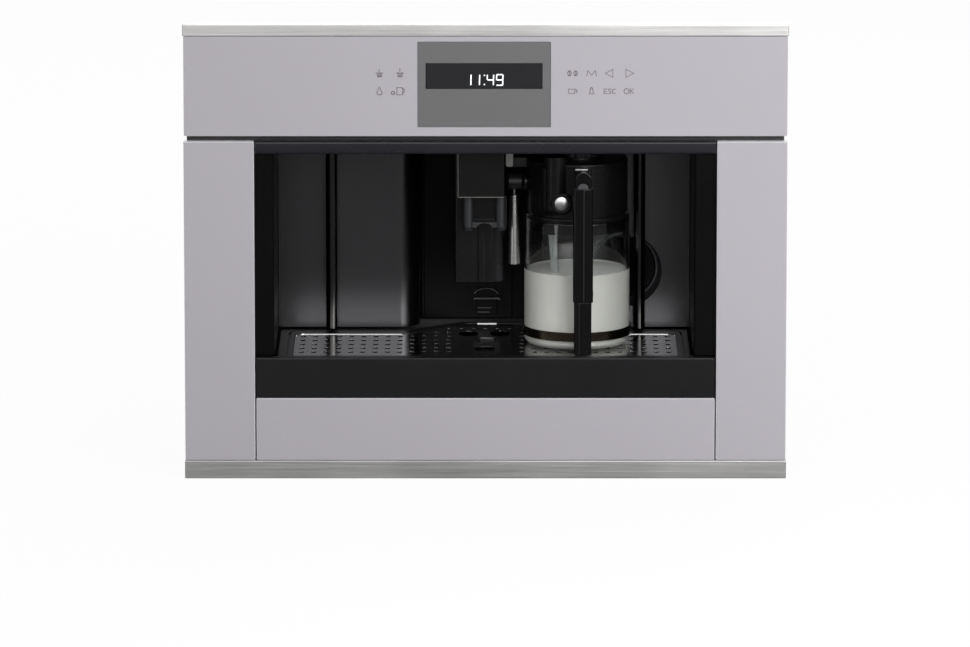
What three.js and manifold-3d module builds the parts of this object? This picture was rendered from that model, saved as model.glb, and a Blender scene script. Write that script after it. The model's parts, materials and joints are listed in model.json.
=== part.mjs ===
// Built-in coffee machine for a 45 cm cabinet niche, with a docked milk jug and a drip tray.
// Millimetres. X to the right, the front faces -Y, Z up, origin at the centre of the base.
// A depth, in the comments and in the names, is measured backwards from the front face.
import * as THREE from "three";
import { mergeGeometries, mergeVertices } from "three/addons/utils/BufferGeometryUtils.js";
import Module from "manifold-3d";

const wasm = await Module();
wasm.setup();

// Driving dimensions
const width = 595;
const height = 455;
const depth = 412;
const seam = 0.3; // clearance between pieces that touch
const front = -depth / 2;
const sheet = 2; // casing sheet

const fascia = {
  foot: 1, // the lower trim clears the cabinet floor
  face: 0.6, // the panels sit a little behind the trims
  back: 12,
  frameBack: 24,
  lowerTrimTop: 19,
  upperTrimFoot: 443.3,
  controlFoot: 344.2,
  columnTop: 338.7,
  columnWidth: 70,
};
const display = { left: -66.8, right: 64.2, foot: 353, top: 438 };
const screen = { left: -58.8, right: 56, foot: 391, top: 416.6 };
const niche = {
  left: -208.5,
  right: 205.5,
  floor: 124,
  ceiling: 326,
  sideDepth: 160,
  centreDepth: 205,
};
const tray = { foot: 82.4, top: 122.2, frontTop: 122.4, near: 12.6, side: 159, centre: 199 };
const grid = { half: 190.5, top: 121.6, thickness: 1.2, near: 14.5, side: 133, centre: 191.5 };
const door = { left: -61, right: 27, foot: 126, top: 323, face: 201, back: 205.6 };
const hinge = { x: -63.5, depth: 203.3, radius: 2.1 };
const spout = { left: -28, right: 19, near: 58, back: 112, foot: 273, top: 322 };
const nozzle = { middle: -1, spacing: 32.2, radius: 5.9, foot: 238, depth: 72 };
const jug = { x: 91, depth: 86, radius: 52.5, wall: 2.5, foot: 122.9, rim: 250, lidTop: 311 };
const grip = { left: 87.3, right: 107, face: 1.5, back: 18.5, step: 177, top: 296 };
const froth = { x: 28.6, pivot: 285, tubeFoot: 202, tubeTop: 272, foot: 5.75, head: 4.3 };
const body = { half: 262, foot: 13, top: 370, back: 408 };
const shelf = { foot: 124, top: 127.8 };
const tank = { left: -252, right: -84, face: 226, back: 396, top: 364 };
const hopper = { x: 150, depth: 300, half: 62, foot: 295.6, top: 371 };
const hatch = { left: -58, right: 22, foot: 128, top: 316 };

const finish = (color, roughness, metalness) => () =>
  new THREE.MeshStandardMaterial({ color, roughness, metalness });
const lilacGlass = finish(0xb7b4bd, 0.12, 0.1);
const brushedSteel = finish(0xa7a6a4, 0.35, 1);
const blackPlastic = finish(0x1c1b1d, 0.4, 0);
const glossBlack = finish(0x121214, 0.12, 0);
const greyPlate = finish(0x6e6e6f, 0.5, 0);
const darkSteel = finish(0x3a393c, 0.35, 0.7);
const chrome = finish(0xd8d8d8, 0.08, 1);
const zinc = finish(0xb4b6b8, 0.4, 0.9);
const clearGlass = finish(0xdfe6e6, 0.03, 0);
const greyPlastic = finish(0x55575a, 0.45, 0);

const deep = (d) => front + d;

// Closed surface to solid: vertices merged, collapsed faces dropped, faces turned outwards.
function solidOf(shape) {
  if (!shape.isBufferGeometry) return shape;
  const bare = new THREE.BufferGeometry();
  bare.setAttribute("position", shape.getAttribute("position"));
  bare.setIndex(shape.index);
  const merged = mergeVertices(bare, 1e-3);
  const make = (order) => {
    const corners = [];
    for (let i = 0; i < merged.index.count; i += 3) {
      const face = order.map((k) => merged.index.getX(i + k));
      if (new Set(face).size === 3) corners.push(...face);
    }
    return new wasm.Manifold(
      new wasm.Mesh({
        numProp: 3,
        vertProperties: new Float32Array(merged.attributes.position.array),
        triVerts: new Uint32Array(corners),
      }),
    );
  };
  const solid = make([0, 1, 2]);
  return solid.volume() < 0 ? make([0, 2, 1]) : solid;
}

function geometryOf(solid) {
  const mesh = solid.getMesh();
  const geometry = new THREE.BufferGeometry();
  geometry.setAttribute("position", new THREE.BufferAttribute(mesh.vertProperties, 3));
  geometry.setIndex(new THREE.BufferAttribute(mesh.triVerts, 1));
  geometry.computeVertexNormals();
  return geometry;
}

const join = (...shapes) => shapes.map(solidOf).reduce((a, b) => a.add(b));
const cut = (shape, ...tools) => tools.map(solidOf).reduce((a, b) => a.subtract(b), solidOf(shape));

function add(group, name, shape, material) {
  const mesh = new THREE.Mesh(geometryOf(solidOf(shape)), material());
  mesh.name = name;
  group.add(mesh);
}

// A block between two X values, two depths and two heights.
const block = (x0, x1, d0, d1, z0, z1) =>
  new THREE.BoxGeometry(x1 - x0, d1 - d0, z1 - z0).translate(
    (x0 + x1) / 2,
    deep((d0 + d1) / 2),
    (z0 + z1) / 2,
  );

function roundedRect(a0, a1, b0, b1, r) {
  const s = new THREE.Shape();
  s.moveTo(a0 + r, b0);
  s.lineTo(a1 - r, b0);
  s.absarc(a1 - r, b0 + r, r, -Math.PI / 2, 0);
  s.lineTo(a1, b1 - r);
  s.absarc(a1 - r, b1 - r, r, 0, Math.PI / 2);
  s.lineTo(a0 + r, b1);
  s.absarc(a0 + r, b1 - r, r, Math.PI / 2, Math.PI);
  s.lineTo(a0, b0 + r);
  s.absarc(a0 + r, b0 + r, r, Math.PI, Math.PI * 1.5);
  return s;
}

function polygon(points) {
  return new THREE.Shape(points.map(([a, b]) => new THREE.Vector2(a, b)));
}

// Shape drawn in X and depth, raised from z0 to z1.
function raised(shape, z0, z1, curveSegments = 4) {
  const options = { depth: z1 - z0, bevelEnabled: false, curveSegments };
  return new THREE.ExtrudeGeometry(shape, options).translate(0, front, z0);
}

// Shape drawn in X and Z, running back from depth d0 to d1, with an optional chamfer.
function frontal(shape, d0, d1, chamfer = 0, curveSegments = 2) {
  const options = {
    depth: d1 - d0 - 2 * chamfer,
    bevelEnabled: chamfer > 0,
    bevelThickness: chamfer,
    bevelSize: chamfer,
    bevelOffset: -chamfer,
    bevelSegments: 1,
    curveSegments,
  };
  const geometry = new THREE.ExtrudeGeometry(shape, options);
  return geometry.rotateX(Math.PI / 2).translate(0, deep(d1 - chamfer), 0);
}

// Shape drawn in depth and Z, running from x0 to x1.
function sideways(shape, x0, x1, curveSegments = 4) {
  const options = { depth: x1 - x0, bevelEnabled: false, curveSegments };
  const turn = new THREE.Matrix4().makeBasis(
    new THREE.Vector3(0, 1, 0),
    new THREE.Vector3(0, 0, 1),
    new THREE.Vector3(1, 0, 0),
  );
  return new THREE.ExtrudeGeometry(shape, options).applyMatrix4(turn).translate(x0, front, 0);
}

// Profile of [radius, height] turned about a standing axis at X and depth.
function turned(profile, x, d, segments = 32) {
  const points = profile.map(([r, z]) => new THREE.Vector2(r, z));
  return new THREE.LatheGeometry(points, segments).rotateX(Math.PI / 2).translate(x, deep(d), 0);
}

// Rod between two X values, two depths or two heights.
const rodX = (r, x0, x1, d, z, segments = 20) =>
  new THREE.CylinderGeometry(r, r, x1 - x0, segments)
    .rotateZ(Math.PI / 2)
    .translate((x0 + x1) / 2, deep(d), z);
const rodY = (r, x, d0, d1, z, segments = 24) =>
  new THREE.CylinderGeometry(r, r, d1 - d0, segments).translate(x, deep((d0 + d1) / 2), z);
const rodZ = (r, x, d, z0, z1, segments = 20) =>
  new THREE.CylinderGeometry(r, r, z1 - z0, segments)
    .rotateX(Math.PI / 2)
    .translate(x, deep(d), (z0 + z1) / 2);

// Lilac glass-faced panels, steel trims, display and the frame that carries them.
function makeFascia() {
  const group = new THREE.Group();
  const half = width / 2;
  const edge = half - 1;
  const inner = half - fascia.columnWidth;
  const panel = (x0, x1, z0, z1) =>
    frontal(roundedRect(x0, x1, z0, z1, 1.4), fascia.face, fascia.back, 0.7);
  const trim = (z0, z1) => sideways(roundedRect(0, fascia.back, z0, z1, 0.9), -half, half, 2);

  add(group, "top_trim", trim(fascia.upperTrimFoot, height), brushedSteel);
  add(group, "bottom_trim", trim(fascia.foot, fascia.lowerTrimTop), brushedSteel);
  const control = panel(-edge, edge, fascia.controlFoot, fascia.upperTrimFoot - seam);
  const pocket = block(display.left, display.right, -1, 13, display.foot, display.top);
  add(group, "control_panel", cut(control, pocket), lilacGlass);
  const bezel = block(
    display.left + seam,
    display.right - seam,
    1.2,
    fascia.back,
    display.foot + seam,
    display.top - seam,
  );
  const window = block(screen.left, screen.right, 0, 13, screen.foot, screen.top);
  add(group, "display_bezel", cut(bezel, window), greyPlate);
  const glass = roundedRect(
    screen.left + seam,
    screen.right - seam,
    screen.foot + seam,
    screen.top - seam,
    1,
  );
  add(group, "display_window", frontal(glass, 1.7, fascia.back, 0.4), glossBlack);

  const columnFoot = fascia.lowerTrimTop + seam;
  const left = panel(-edge - 0.5, -inner - seam, columnFoot, fascia.columnTop);
  const right = panel(inner + seam, edge + 0.5, columnFoot, fascia.columnTop);
  add(group, "left_column_panel", left, lilacGlass);
  add(group, "right_column_panel", right, lilacGlass);
  add(group, "lower_front_panel", panel(-inner + 1, inner - 1, columnFoot, 81.6), lilacGlass);
  const bar = roundedRect(1.5, fascia.back, niche.ceiling, fascia.columnTop, 2.5);
  add(group, "niche_top_bar", sideways(bar, -inner, inner), greyPlastic);

  const frame = frontal(roundedRect(-294, 294, 3, 453, 4), fascia.back + seam, fascia.frameBack);
  const opening = block(-inner + 0.2, inner - 0.2, 10, 26, 81.9, niche.ceiling - seam);
  // raised strips that lie on the front edges of the cabinet's side boards
  const strips = [-279, 279].map((x) => block(x - 12, x + 12, 23, fascia.frameBack + 0.6, 12, 444));
  add(group, "fascia_frame", join(cut(frame, opening), ...strips), blackPlastic);
  return group;
}

// Panel in plan: flat across the niche, then round a corner towards the back.
function cornerPanel(side, outer, end, radius) {
  const t = 2.4;
  const face = niche.sideDepth;
  const turn = end - radius;
  const s = new THREE.Shape();
  s.moveTo(outer, face);
  s.lineTo(turn, face);
  s.absarc(turn, face + radius, radius, -Math.PI / 2, 0);
  s.lineTo(end, niche.centreDepth - 2);
  s.lineTo(end - t, niche.centreDepth - 2);
  s.absarc(turn, face + radius, radius - t, 0, -Math.PI / 2, true);
  s.lineTo(outer, face + t);
  return polygon(s.getPoints(8).map((p) => [side * p.x, p.y]));
}

// Niche lining: side walls, ceiling, back panels with the finger recess, and the pull bars.
function makeNiche() {
  const group = new THREE.Group();
  const top = niche.ceiling - seam;
  const rim = width / 2 - fascia.columnWidth - 0.6;
  const wall = 3;
  const sideWall = (side, inner) => {
    const s = polygon([
      [side * rim, 8],
      [side * (inner + 2), 8],
      [side * inner, 10],
      [side * inner, niche.sideDepth - seam],
      [side * (inner + wall), niche.sideDepth - seam],
      [side * (inner + wall), fascia.frameBack + 0.6],
      [side * rim, fascia.frameBack + 0.6],
    ]);
    return raised(s, niche.floor, top);
  };
  add(group, "niche_side_left", sideWall(-1, -niche.left), blackPlastic);
  add(group, "niche_side_right", sideWall(1, niche.right), blackPlastic);
  const ceiling = block(-226, 226, fascia.frameBack + seam, 210, niche.ceiling, 328.6);
  add(group, "niche_ceiling", ceiling, blackPlastic);

  const leftPanel = cornerPanel(1, niche.left + seam, -66, 22);
  add(group, "left_back_panel", raised(leftPanel, niche.floor, top), darkSteel);
  const recess = { x: 140.6, z: 182, r: 37, floorRadius: 33.2, depth: 20 };
  const rightPanel = raised(cornerPanel(-1, -niche.right + seam, -98, 6), niche.floor, top);
  const recessHole = rodY(recess.r, recess.x, 155, 166, recess.z, 32);
  add(group, "right_back_panel", cut(rightPanel, recessHole), darkSteel);
  const dish = [
    [0, recess.depth],
    [recess.floorRadius, recess.depth],
    [recess.r - seam, 0],
    [recess.r - seam, 3],
    [recess.floorRadius + 1, recess.depth + 2],
    [0, recess.depth + 2],
  ];
  const dishProfile = dish.map(([r, d]) => new THREE.Vector2(r, d));
  const bowl = new THREE.LatheGeometry(dishProfile, 32);
  bowl.translate(recess.x, deep(niche.sideDepth), recess.z);
  add(group, "finger_recess", bowl, blackPlastic);

  const end = niche.centreDepth + 1;
  const centre = block(-65.6, 97.6, end, end + 2.5, niche.floor, top);
  const hole = block(hatch.left, hatch.right, end - 2, end + 4, hatch.foot, hatch.top);
  add(group, "centre_wall", cut(centre, hole), blackPlastic);

  for (const [name, x] of [["pull_handle_left", -154.4], ["pull_handle_right", 154.4]]) {
    const bar = raised(roundedRect(x - 5.8, x + 5.8, 143, 154, 5), niche.floor + 0.6, top);
    const pads = [[126, 140], [311, 324]].map(([z0, z1]) =>
      block(x - 4, x + 4, 150, niche.sideDepth - seam, z0, z1),
    );
    add(group, name, join(bar, ...pads), glossBlack);
  }

  const dock = roundedRect(54, 93, 232, 292, 9);
  const housing = frontal(dock, 142, niche.centreDepth + 1 - seam, 1.5, 3);
  const nose = join(rodY(7.5, 73, 138, 143, 262, 16), rodY(5, 73, 127, 140, 262, 14));
  add(group, "milk_dock", join(housing, nose), blackPlastic);
  return group;
}

// Service door hinged on its left edge, with the column that the coffee spout slides on.
function makeDoor() {
  const group = new THREE.Group();
  const leaf = frontal(
    roundedRect(door.left - 1, door.right, door.foot, door.top, 1),
    door.face,
    door.back,
  );
  const barrel = rodZ(hinge.radius, hinge.x, hinge.depth, door.foot, door.top, 12);
  // finger grip: a tongue under a ledge and an arched bead
  const tongue = frontal(roundedRect(-9, 12, 129, 144.5, 3), door.face - 2, door.face + 1, 0.5);
  const ledge = frontal(roundedRect(-12.3, 15.3, 145.4, 147.6, 0.9), door.face - 4.2, door.face + 1, 0.4);
  const arch = new THREE.Shape();
  arch.absellipse(1.5, 152, 11, 8.6, 0, Math.PI);
  arch.absellipse(1.5, 152, 9.2, 7, Math.PI, 0, true);
  const bead = frontal(arch, door.face - 1.6, door.face + 1, 0, 6);
  add(group, "service_door", join(leaf, barrel, tongue, ledge, bead), blackPlastic);

  const face = spout.back + 0.5;
  const column = roundedRect(spout.left - 3.3, spout.right - 0.5, face, door.face - seam, 12);
  const guide = block(-7, -1, face - 4, face + 2, 180, spout.top);
  const post = join(raised(column, 178, 322, 6), guide);
  add(group, "spout_column", post, glossBlack);
  return group;
}

// Coffee outlet: a square head that slides down its column, with two nozzles and their bridge.
function makeSpout() {
  const group = new THREE.Group();
  const { left, right, near, back, foot, top } = spout;
  const head = raised(roundedRect(left, right, near, back, 4), foot, top, 4);
  const slot = block(-7.5, -0.5, back - 4, back + 2, foot - 1, top + 1);
  const grooves = [block(left - 1, left + 1.2, near + 4.5, near + 5.5, foot - 1, top + 1)];
  add(group, "coffee_spout_head", cut(head, slot, ...grooves), glossBlack);

  const lip = foot - seam;
  const bore = { radius: 3.4, depth: 14 };
  const nozzles = [-1, 1].map((side) => {
    const x = nozzle.middle + (side * nozzle.spacing) / 2;
    return turned(
      [
        [0, nozzle.foot + bore.depth],
        [bore.radius, nozzle.foot + bore.depth],
        [bore.radius + 0.6, nozzle.foot],
        [nozzle.radius - 0.6, nozzle.foot],
        [nozzle.radius, nozzle.foot + 2],
        [nozzle.radius, lip],
        [0, lip],
      ],
      x,
      nozzle.depth,
      16,
    );
  });
  const reach = nozzle.spacing / 2 - 3;
  const web = block(nozzle.middle - reach, nozzle.middle + reach, 73, 76, 245, lip);
  const shelfShape = polygon([[67, 241], [76, 241], [76, 249], [70.5, 249], [67, 246.5]]);
  const shelf = sideways(shelfShape, nozzle.middle - reach, nozzle.middle + reach);
  const bridge = cut(shelf, rodY(9.5, nozzle.middle, 60, 84, 236.6, 20));
  add(group, "coffee_nozzles", join(web, bridge, ...nozzles), glossBlack);
  return group;
}

// Back edge of the tray in plan: shallow at the sides, deeper in front of the door.
const bay = { x: 8, flat: 22, reach: 92 };
function bayDepth(x, side, centre) {
  const t = THREE.MathUtils.clamp((bay.reach - Math.abs(x - bay.x)) / (bay.reach - bay.flat), 0, 1);
  return side + (centre - side) * t * t * (3 - 2 * t);
}

function trayOutline(left, right, near, side, centre, radius) {
  const steps = 7;
  const s = new THREE.Shape();
  s.moveTo(left + radius / 2, near);
  s.lineTo(right - radius / 2, near);
  s.lineTo(right, near + radius / 2);
  s.lineTo(right, side - radius);
  s.absarc(right - radius, side - radius, radius, 0, Math.PI / 2);
  for (const flank of [1, -1]) {
    for (let i = 0; i <= steps; i++) {
      const u = flank > 0 ? 1 - i / steps : i / steps;
      const x = bay.x + flank * (bay.flat + (bay.reach - bay.flat) * u);
      s.lineTo(x, bayDepth(x, side, centre));
    }
  }
  s.lineTo(left + radius, side);
  s.absarc(left + radius, side - radius, radius, Math.PI / 2, Math.PI);
  s.lineTo(left, near + radius / 2);
  return s;
}

// Slots in rows and columns, left out round the openings under the coffee nozzles.
function gridHoles() {
  const pitch = { x: 12.15, depth: 20.9 };
  const slot = { width: 5.2, length: 7.4 };
  const first = { x: -182.5, depth: 36 };
  const low = grid.top - 3;
  const high = grid.top + 1;
  const oval = (x, d, rx, rd) => {
    const ring = new THREE.Shape();
    ring.absellipse(x, d, rx, rd, 0, Math.PI * 2);
    return raised(ring, low, high, 7);
  };
  const floatHole = raised(roundedRect(-6.4, 9.4, 89, 113, 2.5), low, high, 3);
  const holes = [oval(-17, 136, 10, 15), oval(14.7, 136, 10, 15), oval(-1, 53, 11, 14), floatHole];
  for (let column = 0; column < 31; column++) {
    for (let row = 0; row < 7; row++) {
      const x = first.x + column * pitch.x;
      const d = first.depth + row * pitch.depth;
      const nearCentre = Math.abs(x + 1) < 30 && d < 160;
      const limit = bayDepth(x, grid.side, grid.centre) - slot.length - 2;
      if (nearCentre || d > limit) continue;
      const w = slot.width / 2;
      const l = slot.length / 2;
      holes.push(block(x - w, x + w, d - l, d + l, low, high));
    }
  }
  return mergeGeometries(holes.map((hole) => (hole.index ? hole.toNonIndexed() : hole)));
}

// Drip tray that draws out forwards, its black front bar, slotted grid and level float.
function makeTray() {
  const group = new THREE.Group();
  const { foot, top, near, side, centre } = tray;
  const wall = 2.4;
  const outline = (inset, corner) =>
    trayOutline(-206 + inset, 203 - inset, near + inset / 2, side - inset, centre - inset, corner);
  const around = (gap, corner) => {
    const reach = grid.half + gap;
    return trayOutline(-reach, reach, grid.near - gap, grid.side + gap, grid.centre + gap, corner);
  };
  // the raised collar round the grid stands clear of the flat rim
  const collarGroove = cut(
    raised(trayOutline(-197, 197, 10, 150, 196.6, 14), top - 1, top + 1),
    raised(trayOutline(-195.6, 195.6, 9, 148.4, 195.2, 12.6), top - 2, top + 2),
  );
  const basin = cut(
    raised(outline(0, 8), foot, top),
    raised(outline(wall, 6), foot + wall, 116),
    raised(around(-4, 6), foot + wall, top + 1),
    raised(around(0.5, 10), grid.top - grid.thickness - seam, top + 1),
    collarGroove,
  );
  add(group, "drip_tray", basin, blackPlastic);

  const reach = width / 2 - fascia.columnWidth - 1;
  const bar = sideways(roundedRect(1, fascia.back + seam, tray.foot, tray.frontTop, 1.6), -reach, reach);
  add(group, "drip_tray_front", bar, blackPlastic);

  const plate = raised(around(0, 9.5), grid.top - grid.thickness, grid.top, 5);
  add(group, "drip_grid", cut(plate, gridHoles()), brushedSteel);

  const floor = foot + wall + seam;
  const buoy = raised(roundedRect(-10, 13, 86, 116, 3), floor, floor + 14, 2);
  const stem = raised(roundedRect(-5.7, 8.7, 89.8, 112.2, 2), floor + 13, grid.top - 0.4, 2);
  add(group, "tray_float", join(buoy, stem), greyPlastic);
  return group;
}

// Milk jug: glass, metal band, front handle, and the lid with its frothing spout and controls.
function makeJug() {
  const group = new THREE.Group();
  const r = jug.radius;
  const inner = r - jug.wall;
  const glass = [
    [0, jug.foot],
    [r - 9, jug.foot],
    [r - 2.8, jug.foot + 2.4],
    [r, jug.foot + 8],
    [r, jug.rim],
    [inner, jug.rim],
    [inner, jug.foot + 8],
    [inner - 3, jug.foot + 5],
    [0, jug.foot + 5],
  ];
  add(group, "jug_glass", turned(glass, jug.x, jug.depth, 36), clearGlass);

  const bandFoot = 132.5;
  const bandTop = 141.5;
  const ring = turned(
    [
      [r + seam, bandFoot],
      [r + 1.8, bandFoot],
      [r + 1.8, bandTop],
      [r + seam, bandTop],
      [r + seam, bandFoot],
    ],
    jug.x,
    jug.depth,
    36,
  );
  const middle = (grip.left + grip.right) / 2 - 1;
  const lug = block(middle - 6, middle + 6, 17.4, 32.6, bandFoot + 0.5, bandTop - 0.5);
  add(group, "jug_band", join(ring, lug), darkSteel);

  const stem = roundedRect(grip.left, grip.right - 2.4, grip.face + 1.5, grip.back - 1.4, 6);
  add(group, "handle_stem", raised(stem, 124, grip.step - seam), glossBlack);
  const sleeve = roundedRect(grip.left, grip.right, grip.face, grip.back, 7);
  const heel = rodX(7.5, grip.left + 1, grip.right - 1, 10, grip.top, 20);
  const gripSolid = join(raised(sleeve, grip.step, grip.top), heel);
  add(group, "handle_grip", gripSolid, glossBlack);

  const drum = turned(
    [
      [0, 238],
      [inner - 0.7, 238],
      [inner - 0.7, jug.rim + seam],
      [r - 0.1, jug.rim + seam],
      [r - 0.1, 255.2],
      [r - 1.9, 256.6],
      [r - 1.9, jug.lidTop - 3],
      [r - 3.9, jug.lidTop],
      [0, jug.lidTop],
    ],
    jug.x,
    jug.depth,
    36,
  );
  const turret = join(rodZ(15.6, 68.6, 50, 258, 307, 20), rodZ(12.2, 69.8, 44, 262, 317.5, 18));
  const arm = block(89.5, 104.5, grip.back + seam, 54, 272, 308);
  const boss = rodX(9, 37, 52, jug.depth, froth.pivot, 16);
  const chamber = join(block(20.4, 28, 60, 96, 300, 320.5), block(26, 43, 80, 92, 300, 310));
  const button = { x: 75.2, z: 271.6, r: 7.2 };
  const collar = rodY(11.3, button.x, 31, 50, button.z, 20);
  const lid = cut(
    join(drum, turret, arm, boss, chamber, collar),
    rodY(button.r + 0.4, button.x, 28, 45, button.z, 20),
    rodY(8, 73, 122, 142, 262, 14),
  );
  add(group, "jug_lid", lid, glossBlack);
  const cap = new THREE.LatheGeometry(
    [[0, -1.2], [4, -0.9], [button.r - 0.8, 0], [button.r, 1.2], [button.r, 11], [0, 11]].map(
      ([a, b]) => new THREE.Vector2(a, b),
    ),
    24,
  ).translate(button.x, deep(30.5), button.z);
  add(group, "release_button", cap, chrome);

  const knob = new THREE.Shape();
  const lobes = 20;
  for (let i = 0; i < lobes * 2; i++) {
    const a = (i / (lobes * 2)) * Math.PI * 2;
    const reach = i % 2 ? 21 : 22.4;
    const point = [jug.x + reach * Math.cos(a), jug.depth + reach * Math.sin(a)];
    if (i) knob.lineTo(...point);
    else knob.moveTo(...point);
  }
  const dial = raised(knob, jug.lidTop + seam, 318.5);
  const pointer = block(jug.x - 3, jug.x + 3, jug.depth - 19, jug.depth + 10, 317, 321.5);
  add(group, "froth_knob", join(dial, pointer), greyPlastic);

  const elbow = rodX(8, 21.6, 37 - seam, jug.depth, froth.pivot, 20);
  const neck = rodZ(2.6, froth.x, jug.depth, froth.tubeTop + seam, froth.pivot, 14);
  add(group, "froth_elbow", join(elbow, neck), blackPlastic);
  const tube = turned(
    [
      [0, froth.tubeFoot + 9],
      [froth.foot - 1.1, froth.tubeFoot + 8],
      [froth.foot - 0.9, froth.tubeFoot],
      [froth.foot, froth.tubeFoot],
      [froth.head, froth.tubeTop - 1],
      [froth.head - 0.7, froth.tubeTop],
      [0, froth.tubeTop],
    ],
    froth.x,
    jug.depth,
    20,
  );
  add(group, "froth_tube", tube, chrome);

  const start = new THREE.Vector3(66, deep(62), 237.2);
  const end = new THREE.Vector3(75, deep(70), 131);
  const along = end.clone().sub(start);
  const straw = new THREE.LatheGeometry(
    [[2.6, 0], [4, 0], [4, along.length()], [2.6, along.length()], [2.6, 0]].map(
      ([a, b]) => new THREE.Vector2(a, b),
    ),
    14,
  );
  const aim = new THREE.Quaternion().setFromUnitVectors(
    new THREE.Vector3(0, 1, 0),
    along.clone().normalize(),
  );
  straw.applyQuaternion(aim).translate(start.x, start.y, start.z);
  add(group, "suction_tube", straw, clearGlass);
  return group;
}

// Outer sheets of the body, low enough to stand behind the fascia.
function makeCasing() {
  const group = new THREE.Group();
  const near = fascia.frameBack + seam;
  const { half, foot, top, back } = body;
  const plate = block(-half, half, near, back, foot, foot + sheet);
  const runners = [-1, 1].map((side) =>
    block(side * 240 - 8, side * 240 + 8, 36, 396, 4.4, foot + 0.5),
  );
  add(group, "base_plate", join(plate, ...runners), zinc);
  for (const [name, side] of [["side_panel_left", -1], ["side_panel_right", 1]]) {
    const outer = side * half;
    const inner = side * (half - sheet);
    const [low, high] = [outer, inner].sort((a, b) => a - b);
    const panel = block(low, high, near, back, foot + sheet + seam, top - seam);
    const vents = [];
    for (let i = 0; i < 6; i++) {
      const d = 250 + i * 22;
      vents.push(block(side * half - 4, side * half + 4, d, d + 6, 60, 104));
    }
    add(group, name, cut(panel, ...vents), zinc);
  }

  const reach = half - sheet - seam;
  const rear = block(-half, half, back + seam, back + seam + sheet, foot, top + sheet);
  const louvres = [];
  for (let i = 0; i < 9; i++) {
    louvres.push(block(40, 170, back - 2, back + 6, 200 + i * 12, 204 + i * 12));
  }
  const inletHole = block(-186, -150, back - 2, back + 6, 44, 76);
  const switchHole = block(-138, -114, back - 2, back + 6, 44, 76);
  add(group, "rear_panel", cut(rear, inletHole, switchHole, ...louvres), zinc);

  const lid = block(-half, half, 58.6, back, top, top + sheet);
  const tankHole = block(tank.left - 2, tank.right + 2, tank.face - 2, tank.back + 2, top - 2, top + 4);
  const side = hopper.half + 1;
  const hopperHole = block(
    hopper.x - side,
    hopper.x + side,
    hopper.depth - side,
    hopper.depth + side,
    top - 2,
    top + 4,
  );
  add(group, "top_cover", cut(lid, tankHole, hopperHole), zinc);

  const housing = block(-240, 240, near, 58, 329, 441);
  const hollow = block(-238, 238, near - 1, 56, 331, 439);
  add(group, "control_housing", cut(housing, hollow), zinc);
  const board = block(-200, 200, 26, 28, 350, 430);
  const parts = [[-150, 16], [-60, 10], [30, 18], [120, 12]].map(([x, tall]) =>
    block(x, x + 40, 27, 28 + tall, 366, 404),
  );
  const standoffs = [-180, 180].map((x) => rodY(4, x, 27, 56 - seam, 390, 10));
  add(group, "control_board", join(board, ...parts, ...standoffs), greyPlastic);

  const legs = [-reach, -2, reach - 4].map((x) =>
    block(x, x + 4, 214, 404, foot + sheet + seam, shelf.foot + 1),
  );
  const deck = block(-reach, reach, 214, 404, shelf.foot, shelf.top);
  const riser = block(-reach, reach, 211, 215, 79, shelf.top);
  const floor = block(-reach, reach, near, 212, 79, 82);
  add(group, "chassis", join(deck, riser, floor, ...legs), blackPlastic);

  const inlet = join(
    block(-186 + seam, -150 - seam, back - 18, back + sheet + 1, 44 + seam, 76 - seam),
    block(-190, -146, back + sheet + 2 * seam, back + 4, 41, 79),
  );
  const socket = block(-180, -156, back - 14, back + 6, 51, 69);
  const pins = [-174, -168, -162].map((x) => block(x - 1, x + 1, back - 15, back - 3, 58, 62));
  add(group, "power_inlet", join(cut(inlet, socket), ...pins), blackPlastic);
  return group;
}

// Mains rocker on the back.
function makeSwitch() {
  const group = new THREE.Group();
  const middle = body.back + 0.5;
  const rocker = polygon([
    [middle - 7, 48],
    [middle + 2.5, 45.2],
    [middle + 1, 60],
    [middle + 2.5, 74.8],
    [middle - 7, 72],
  ]);
  add(group, "main_switch", sideways(rocker, -136, -116), blackPlastic);
  return group;
}

// What the body holds: brew unit, grounds bin, boiler, grinder and bean hopper.
function makeInside() {
  const group = new THREE.Group();
  const stand = shelf.top + seam;
  const unit = join(
    raised(roundedRect(-16, 20.5, 214, 300, 6), stand, 236, 3),
    rodZ(15, 2, 250, 235, 290, 24),
    block(-12, 16, 282, 296, 230, 306),
    block(-12, 16, 240, 296, 296, 308),
  );
  add(group, "infuser", unit, blackPlastic);
  const bin = raised(roundedRect(-57, -19, 214, 320, 5), stand, 236, 3);
  const well = raised(roundedRect(-55, -21, 216, 318, 3.5), stand + 2.4, 240, 3);
  add(group, "grounds_container", cut(bin, well), greyPlastic);
  const kettle = turned(
    [
      [0, stand],
      [26, stand],
      [30, stand + 5],
      [30, 235],
      [24, 246],
      [7, 248],
      [7, 262],
      [0, 262],
    ],
    2,
    352,
    28,
  );
  add(group, "boiler", kettle, zinc);
  const motor = join(
    rodZ(37, hopper.x, hopper.depth, stand, 250, 28),
    rodZ(30, hopper.x, hopper.depth, 249, hopper.foot - seam, 28),
  );
  add(group, "grinder", motor, greyPlastic);

  const outer = hopper.half;
  const box = (r) =>
    roundedRect(hopper.x - r, hopper.x + r, hopper.depth - r, hopper.depth + r, 8);
  const shell = raised(box(outer), hopper.foot, hopper.top + 1, 4);
  const funnel = new THREE.CylinderGeometry(82, 24, hopper.top - hopper.foot - 2, 4)
    .rotateX(Math.PI / 2)
    .rotateZ(Math.PI / 4)
    .translate(hopper.x, deep(hopper.depth), (hopper.top + hopper.foot + 6) / 2);
  add(group, "bean_container", cut(shell, funnel), greyPlastic);
  return group;
}

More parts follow.
